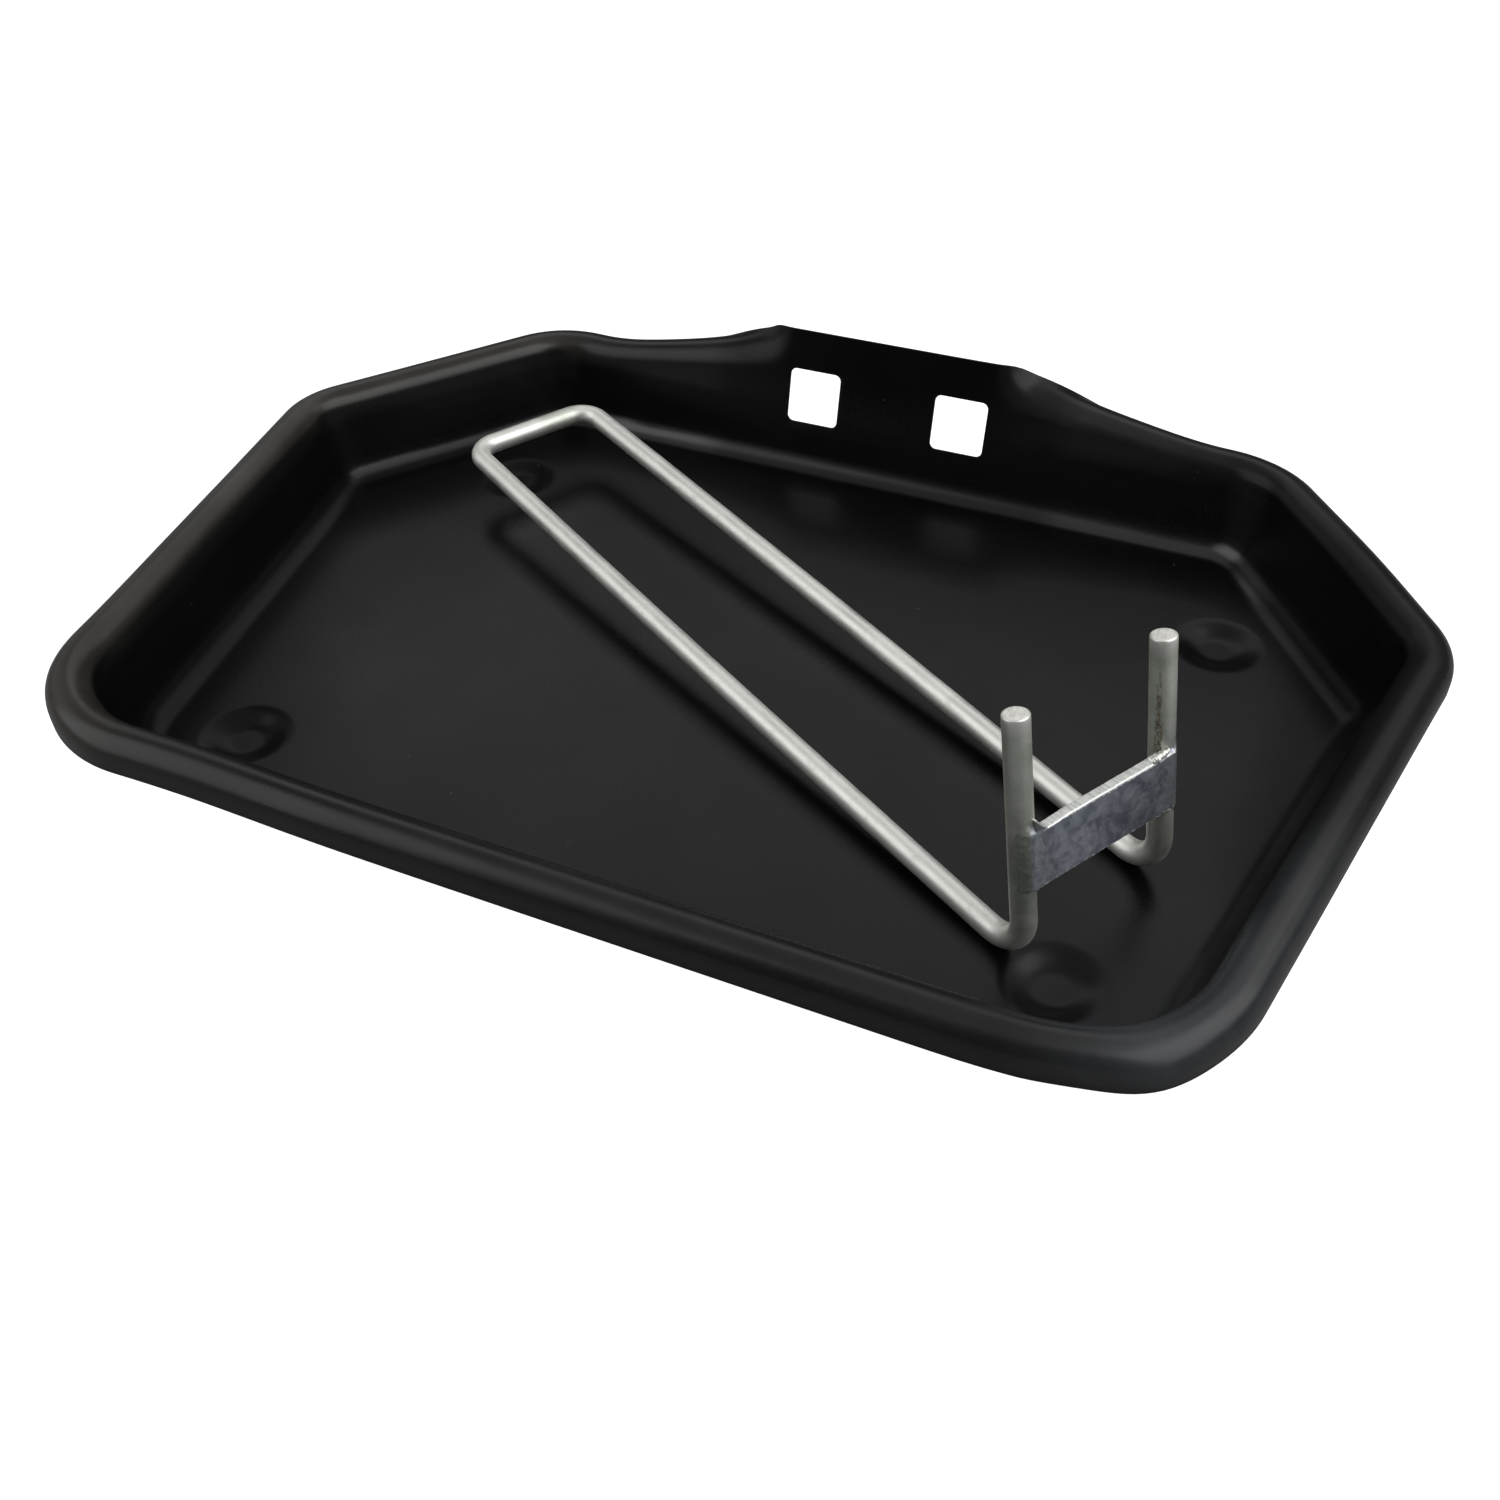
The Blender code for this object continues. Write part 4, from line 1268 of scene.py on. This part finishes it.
# ------------------------------------------------------------- material: bracket
def zinc_rod():
    """Dull zinc plating on drawn rod."""
    net = new_net("zinc_rod_fine")
    obj, uv = net.place(), net.uv()
    cloud = obj.noise(scale=48.0, detail=4.0, rough=0.6)
    spot = obj.noise(scale=330.0, detail=4.0, rough=0.65)
    draw = uv.scaled((2300.0, 38.0, 1.0)).noise(detail=3.0, rough=0.55)
    pits = obj.noise(scale=1500.0, detail=3.0, rough=0.7)
    heat = net.attribute("heat")
    base = mix(cloud.ramp(over=(0.32, 0.68)), (0.84, 0.84, 0.80), (0.93, 0.93, 0.885))
    base = mix(spot.ramp(over=(0.52, 0.78), to=(0.0, 0.42)), base, (0.62, 0.63, 0.60))
    base = mix(draw.ramp(over=(0.45, 0.75), to=(0.0, 0.30)), base, (0.66, 0.66, 0.63))
    # the prongs are greyer, unevenly
    uneven = obj.noise(scale=90.0, detail=4.0, rough=0.65).ramp(over=(0.32, 0.66), to=(0.88, 0.45))
    base = mix(net.attribute("grey") * uneven, base, (0.52, 0.56, 0.485))
    base = mix(heat * cloud.ramp(over=(0.3, 0.7), to=(0.30, 0.55)), base, (0.36, 0.39, 0.38))
    # ragged rust stain, brown and then near black
    torn = uv.scaled((900.0, 190.0, 1.0)).noise(detail=4.0, rough=0.65)
    ragged = net.attribute("stain") * torn.ramp(over=(0.34, 0.62), to=(0.25, 1.35))
    ragged = ragged.math("MINIMUM", 1.0)
    speck = obj.noise(scale=1250.0, detail=3.0, rough=0.7).ramp(over=(0.40, 0.62))
    brown = ragged.ramp(over=(0.04, 0.40), to=(0.0, 0.85))
    base = mix(brown * speck.ramp(over=(0.0, 1.0), to=(0.55, 1.0)), base, (0.205, 0.185, 0.115))
    dark = ragged.ramp(over=(0.30, 0.80), to=(0.0, 0.95))
    base = mix(dark * speck.ramp(over=(0.0, 1.0), to=(0.45, 1.0)), base, (0.050, 0.042, 0.026))
    rough = (cloud.ramp(over=(0.3, 0.7), to=(0.45, 0.53))
             + spot.ramp(over=(0.4, 0.8), to=(0.0, 0.08)))
    relief = draw.bump(strength=0.20, depth=0.03 * MM)
    relief = pits.bump(strength=0.22, depth=0.03 * MM, on=relief)
    return net.surface({
        "Base Color": base,
        "Metallic": ragged.ramp(over=(0.1, 0.6), to=(0.94, 0.70)),
        "Roughness": rough + heat * 0.05,
        "Normal": spot.bump(strength=0.20, depth=0.06 * MM, on=relief)})


def cut_end():
    """Cropped rod end: bright, slightly torn."""
    net = new_net("zinc_rod_cut_end")
    tear = net.place().scaled((1600.0, 380.0, 380.0), turn=0.4).noise(detail=4.0, rough=0.65)
    return net.surface({
        "Base Color": mix(tear.ramp(over=(0.35, 0.7)), (0.80, 0.79, 0.73), (0.97, 0.96, 0.91)),
        "Metallic": 0.45,
        "Roughness": tear.ramp(over=(0.3, 0.7), to=(0.40, 0.58)),
        "Normal": tear.bump(strength=0.4, depth=0.12 * MM)})


def bar_face():
    """Blue-grey plated flat bar, mottled by pickling and heat."""
    net = new_net("bar_steel_face")
    place = net.attribute("place", "Vector")
    axes = net.node("SeparateXYZ", {0: place})
    across, up = axes[0], axes[1]
    mottle = place.noise(scale=210.0, detail=4.0, rough=0.6, distort=0.4)
    small = place.noise(scale=760.0, detail=4.0, rough=0.65)
    run = place.scaled((560.0, 120.0, 120.0)).noise(detail=3.0, rough=0.55)
    base = mix(mottle.ramp(over=(0.34, 0.68)), (0.58, 0.635, 0.765), (0.74, 0.79, 0.88))
    base = mix(small.ramp(over=(0.50, 0.78), to=(0.0, 0.45)), base, (0.86, 0.90, 0.94))
    base = mix(run.ramp(over=(0.55, 0.8), to=(0.0, 0.35)), base, (0.42, 0.46, 0.56))
    # heat-paled ends over the prongs
    ends = abs(across).ramp(over=(PLATE_L / 2 - 9.5 * MM, PLATE_L / 2 - 1.0 * MM))
    ends = ends * across.ramp(over=(-10 * MM, 10 * MM), to=(0.45, 1.0))
    paled = ends * mottle.ramp(over=(0.3, 0.6), to=(0.25, 0.8))
    base = mix(paled, base, (0.74, 0.80, 0.79))
    # darker towards the left end
    base = mix(across.ramp(over=(-22 * MM, 16 * MM), to=(0.42, 0.0)), base, (0.05, 0.055, 0.07))
    # ragged bright burr along the top corner, bright nicks along the bottom one
    wobble = ((place.noise(scale=1100.0, detail=4.0, rough=0.7) - 0.5) * (2.4 * MM)
              + (place.noise(scale=260.0) - 0.5) * (1.4 * MM))
    burr = (up + wobble).ramp(over=(PLATE_W / 2 - 0.80 * MM, PLATE_W / 2 - 0.62 * MM))
    nick = (place.noise(scale=1500.0).ramp(over=(0.50, 0.60))
            * up.ramp(over=(-PLATE_W / 2 + 0.75 * MM, -PLATE_W / 2 + 0.30 * MM)))
    relief = small.bump(strength=0.22, depth=0.09 * MM)
    return net.surface({
        "Base Color": mix(burr.max(nick), base, (0.97, 0.98, 0.95)),
        "Metallic": burr.max(nick).ramp(over=(0.0, 1.0), to=(0.92, 0.45)),
        "Roughness": (mottle.ramp(over=(0.3, 0.7), to=(0.40, 0.52))
                      + small.ramp(over=(0.3, 0.8), to=(-0.03, 0.06))),
        "Normal": mottle.bump(strength=0.20, depth=0.2 * MM, on=relief)})


def bar_edge():
    """Sheared edge of the flat bar: bright, with short tear lines through the thickness."""
    net = new_net("bar_steel_sheared")
    place = net.attribute("place", "Vector")
    lines = place.scaled((1900.0, 200.0, 200.0)).noise(detail=4.0, rough=0.7)
    patch = place.noise(scale=330.0, detail=3.0, rough=0.6)
    base = mix(lines.ramp(over=(0.36, 0.66)), (0.66, 0.68, 0.66), (0.96, 0.97, 0.93))
    return net.surface({
        "Base Color": mix(patch.ramp(over=(0.55, 0.75), to=(0.0, 0.5)), base, (0.55, 0.57, 0.56)),
        "Metallic": 0.55,
        "Roughness": lines.ramp(over=(0.3, 0.7), to=(0.34, 0.52)),
        "Normal": lines.bump(strength=0.5, depth=0.16 * MM)})


def weld_metal():
    """Bright lumpy bead with a few brown patches."""
    net = new_net("weld_steel_fine")
    obj = net.place()
    lump = obj.noise(scale=620.0, detail=4.0, rough=0.6)
    grit = obj.noise(scale=2600.0, detail=3.0, rough=0.65)
    patch = obj.noise(scale=300.0, detail=3.0, rough=0.6).ramp(over=(0.60, 0.78), to=(0.0, 0.6))
    base = mix(lump.ramp(over=(0.35, 0.68)), (0.66, 0.67, 0.63), (0.96, 0.96, 0.92))
    relief = grit.bump(strength=0.3, depth=0.08 * MM)
    return net.surface({
        "Base Color": mix(patch, base, (0.34, 0.30, 0.20)),
        "Metallic": 0.70,
        "Roughness": lump.ramp(over=(0.3, 0.7), to=(0.26, 0.46)),
        "Normal": lump.bump(strength=0.35, depth=0.3 * MM, on=relief)})


def weld_flow_metal():
    """Melted skin between bar and rod: the bar's blue grey clouding into the rod's green grey."""
    net = new_net("weld_steel_flow")
    obj = net.place()
    cloud = obj.noise(scale=210.0, detail=4.0, rough=0.6, distort=0.4)
    lump = obj.noise(scale=700.0, detail=4.0, rough=0.65)
    patch = obj.noise(scale=480.0, detail=3.0, rough=0.6).ramp(over=(0.60, 0.76), to=(0.0, 0.55))
    base = mix(cloud.ramp(over=(0.40, 0.60)), (0.60, 0.655, 0.77), (0.74, 0.79, 0.86))
    edge = (net.attribute("to_rod") + (cloud - 0.5) * 0.9).ramp(over=(0.15, 0.85))
    base = mix(edge, base, (0.62, 0.66, 0.58))
    base = mix(lump.ramp(over=(0.50, 0.76), to=(0.0, 0.4)), base, (0.84, 0.88, 0.86))
    base = mix(patch, base, (0.30, 0.33, 0.34))
    relief = lump.bump(strength=0.25, depth=0.1 * MM)
    return net.surface({
        # dim darkens the left prong's end and paints shade on the up-facing ledges
        "Base Color": mix(net.attribute("dim"), base, (0.07, 0.075, 0.08)),
        "Metallic": 0.92,
        "Roughness": lump.ramp(over=(0.3, 0.7), to=(0.44, 0.54)),
        "Normal": cloud.bump(strength=0.20, depth=0.2 * MM, on=relief)})


# ----------------------------------------------------------------------- build
paint = black_paint()
rod_mats = [zinc_rod(), cut_end()]
bar_mats = [bar_face(), bar_edge()]
weld_mats = [weld_metal(), weld_flow_metal()]

tray = build_tray(paint)
punch_holes(tray)
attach(tray, "tray")
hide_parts("tray_pan")

rod = build_rod(rod_mats)
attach(rod, "bracket")
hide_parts("bracket_rod")

plate = build_plate(bar_mats)
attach(plate, "bracket")
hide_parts("cross_plate")

beads, flows = build_welds(*weld_mats)
for node_name, bead in beads.items():
    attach(bead, "bracket")
    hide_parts(node_name)
for flow in flows:
    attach(flow, "bracket")


# ----------------------------------------------------------------------- stage
STAGE_HALF = 6.0
STAGE_CUTS = 12
STAGE_Z = -0.06 * MM
FLOOR_GLOW = 1.0
AMBIENT = 0.035                 # the world's light
BACKDROP = 1.0                  # what the camera sees of the world, beyond the ambient
LIGHT_TARGET = Vector((0.0, 0.0, 0.02))
# name, direction from the target, distance, width, height, radiance
LIGHTS = (("light_back", (-0.05, 1.0, 1.035), 1.8, 2.9, 0.72, 0.93),
          ("light_left_back", (-0.927, 0.375, 0.37), 1.7, 1.37, 0.95, 0.34),
          ("light_right", (1.0, 0.0, 0.99), 1.6, 1.75, 1.50, 2.45),
          ("light_left_front", (-0.83, -0.54, 0.64), 1.6, 1.5, 1.50, 1.35),
          ("light_top", (0.10, 0.0, 1.0), 1.6, 2.4, 2.4, 0.38))
# camera angles in radians: heading from +y towards +x, downward pitch, roll
CAM_HEADING, CAM_PITCH, CAM_ROLL = -0.446, 0.717, -0.031
CAM_PLACE = Vector((0.168835, -0.217506 - ORIGIN_Y, 0.302161 + FLOOR_Z))
CAM_LENS = 36.467


def stage_material():
    net = new_net("stage_pale")
    # the sheet glows a little to the camera, so it reads as lit paper
    glow = net.node("LightPath", out="Is Camera Ray") * FLOOR_GLOW
    mat = net.surface({
        "Base Color": (0.30, 0.30, 0.30), "Roughness": 0.85, "Specular IOR Level": 0.1,
        "Emission Color": (1.0, 1.0, 1.0), "Emission Strength": glow})
    # seen from below the sheet is clear, so the underside can be looked at
    pale = Signal(net, net.nodes["Principled BSDF"].outputs[0])
    both = net.node("MixShader", {0: net.node("NewGeometry", out="Backfacing"),
                                  1: pale, 2: net.node("BsdfTransparent")})
    net.fill(net.nodes["Material Output"], {"Surface": both})
    return mat


def stage_floor():
    ticks = [-STAGE_HALF + 2 * STAGE_HALF * k / STAGE_CUTS for k in range(STAGE_CUTS + 1)]
    skin = Skin()
    rows = [skin.add([(x, y, STAGE_Z) for x in ticks]) for y in ticks]
    for low, high in zip(rows, rows[1:]):
        for i in range(STAGE_CUTS):
            skin.face([low[i], low[i + 1], high[i + 1], high[i]])
    skin.build("stage_floor", [stage_material()])


def studio_world():
    """Dim for the light it gives, pale where the camera sees past the floor's edge."""
    world = bpy.data.worlds.new("studio")
    bpy.context.scene.world = world
    net = Net(world)
    seen = net.node("LightPath", out="Is Camera Ray")
    strength = net.node("Math", {0: seen, 1: BACKDROP, 2: AMBIENT}, operation="MULTIPLY_ADD")
    net.fill(net.nodes["Background"], {"Color": (1.0, 1.0, 1.0), "Strength": strength})


def softbox(name, direction, distance, width, height, radiance):
    """Rectangular light of a given brightness, aimed at the tray."""
    data = bpy.data.lights.new(name, "AREA")
    data.shape = "RECTANGLE"
    data.size, data.size_y = width, height
    data.energy = radiance * math.pi * width * height
    data.spread = math.pi
    ob = bpy.data.objects.new(name, data)
    away = Vector(direction).normalized()
    ob.location = LIGHT_TARGET + away * distance
    ob.rotation_mode = "QUATERNION"
    ob.rotation_quaternion = away.to_track_quat("Z", "Y")
    bpy.context.scene.collection.objects.link(ob)


def place_camera():
    ahead = Vector((math.sin(CAM_HEADING) * math.cos(CAM_PITCH),
                    math.cos(CAM_HEADING) * math.cos(CAM_PITCH), -math.sin(CAM_PITCH)))
    level = Vector((math.cos(CAM_HEADING), -math.sin(CAM_HEADING), 0.0))
    upright = level.cross(ahead)
    right = level * math.cos(CAM_ROLL) + upright * math.sin(CAM_ROLL)
    up = -level * math.sin(CAM_ROLL) + upright * math.cos(CAM_ROLL)
    data = bpy.data.cameras.new("camera")
    data.sensor_width = 36.0
    data.lens = CAM_LENS
    data.clip_start, data.clip_end = 0.01, 50.0
    camera = bpy.data.objects.new("camera", data)
    rows = [(right[i], up[i], -ahead[i], CAM_PLACE[i]) for i in range(3)]
    camera.matrix_world = Matrix((*rows, (0.0, 0.0, 0.0, 1.0)))
    bpy.context.scene.collection.objects.link(camera)
    bpy.context.scene.camera = camera


stage_floor()
studio_world()
for light in LIGHTS:
    softbox(*light)
place_camera()
bpy.context.scene.view_settings.view_transform = "Standard"
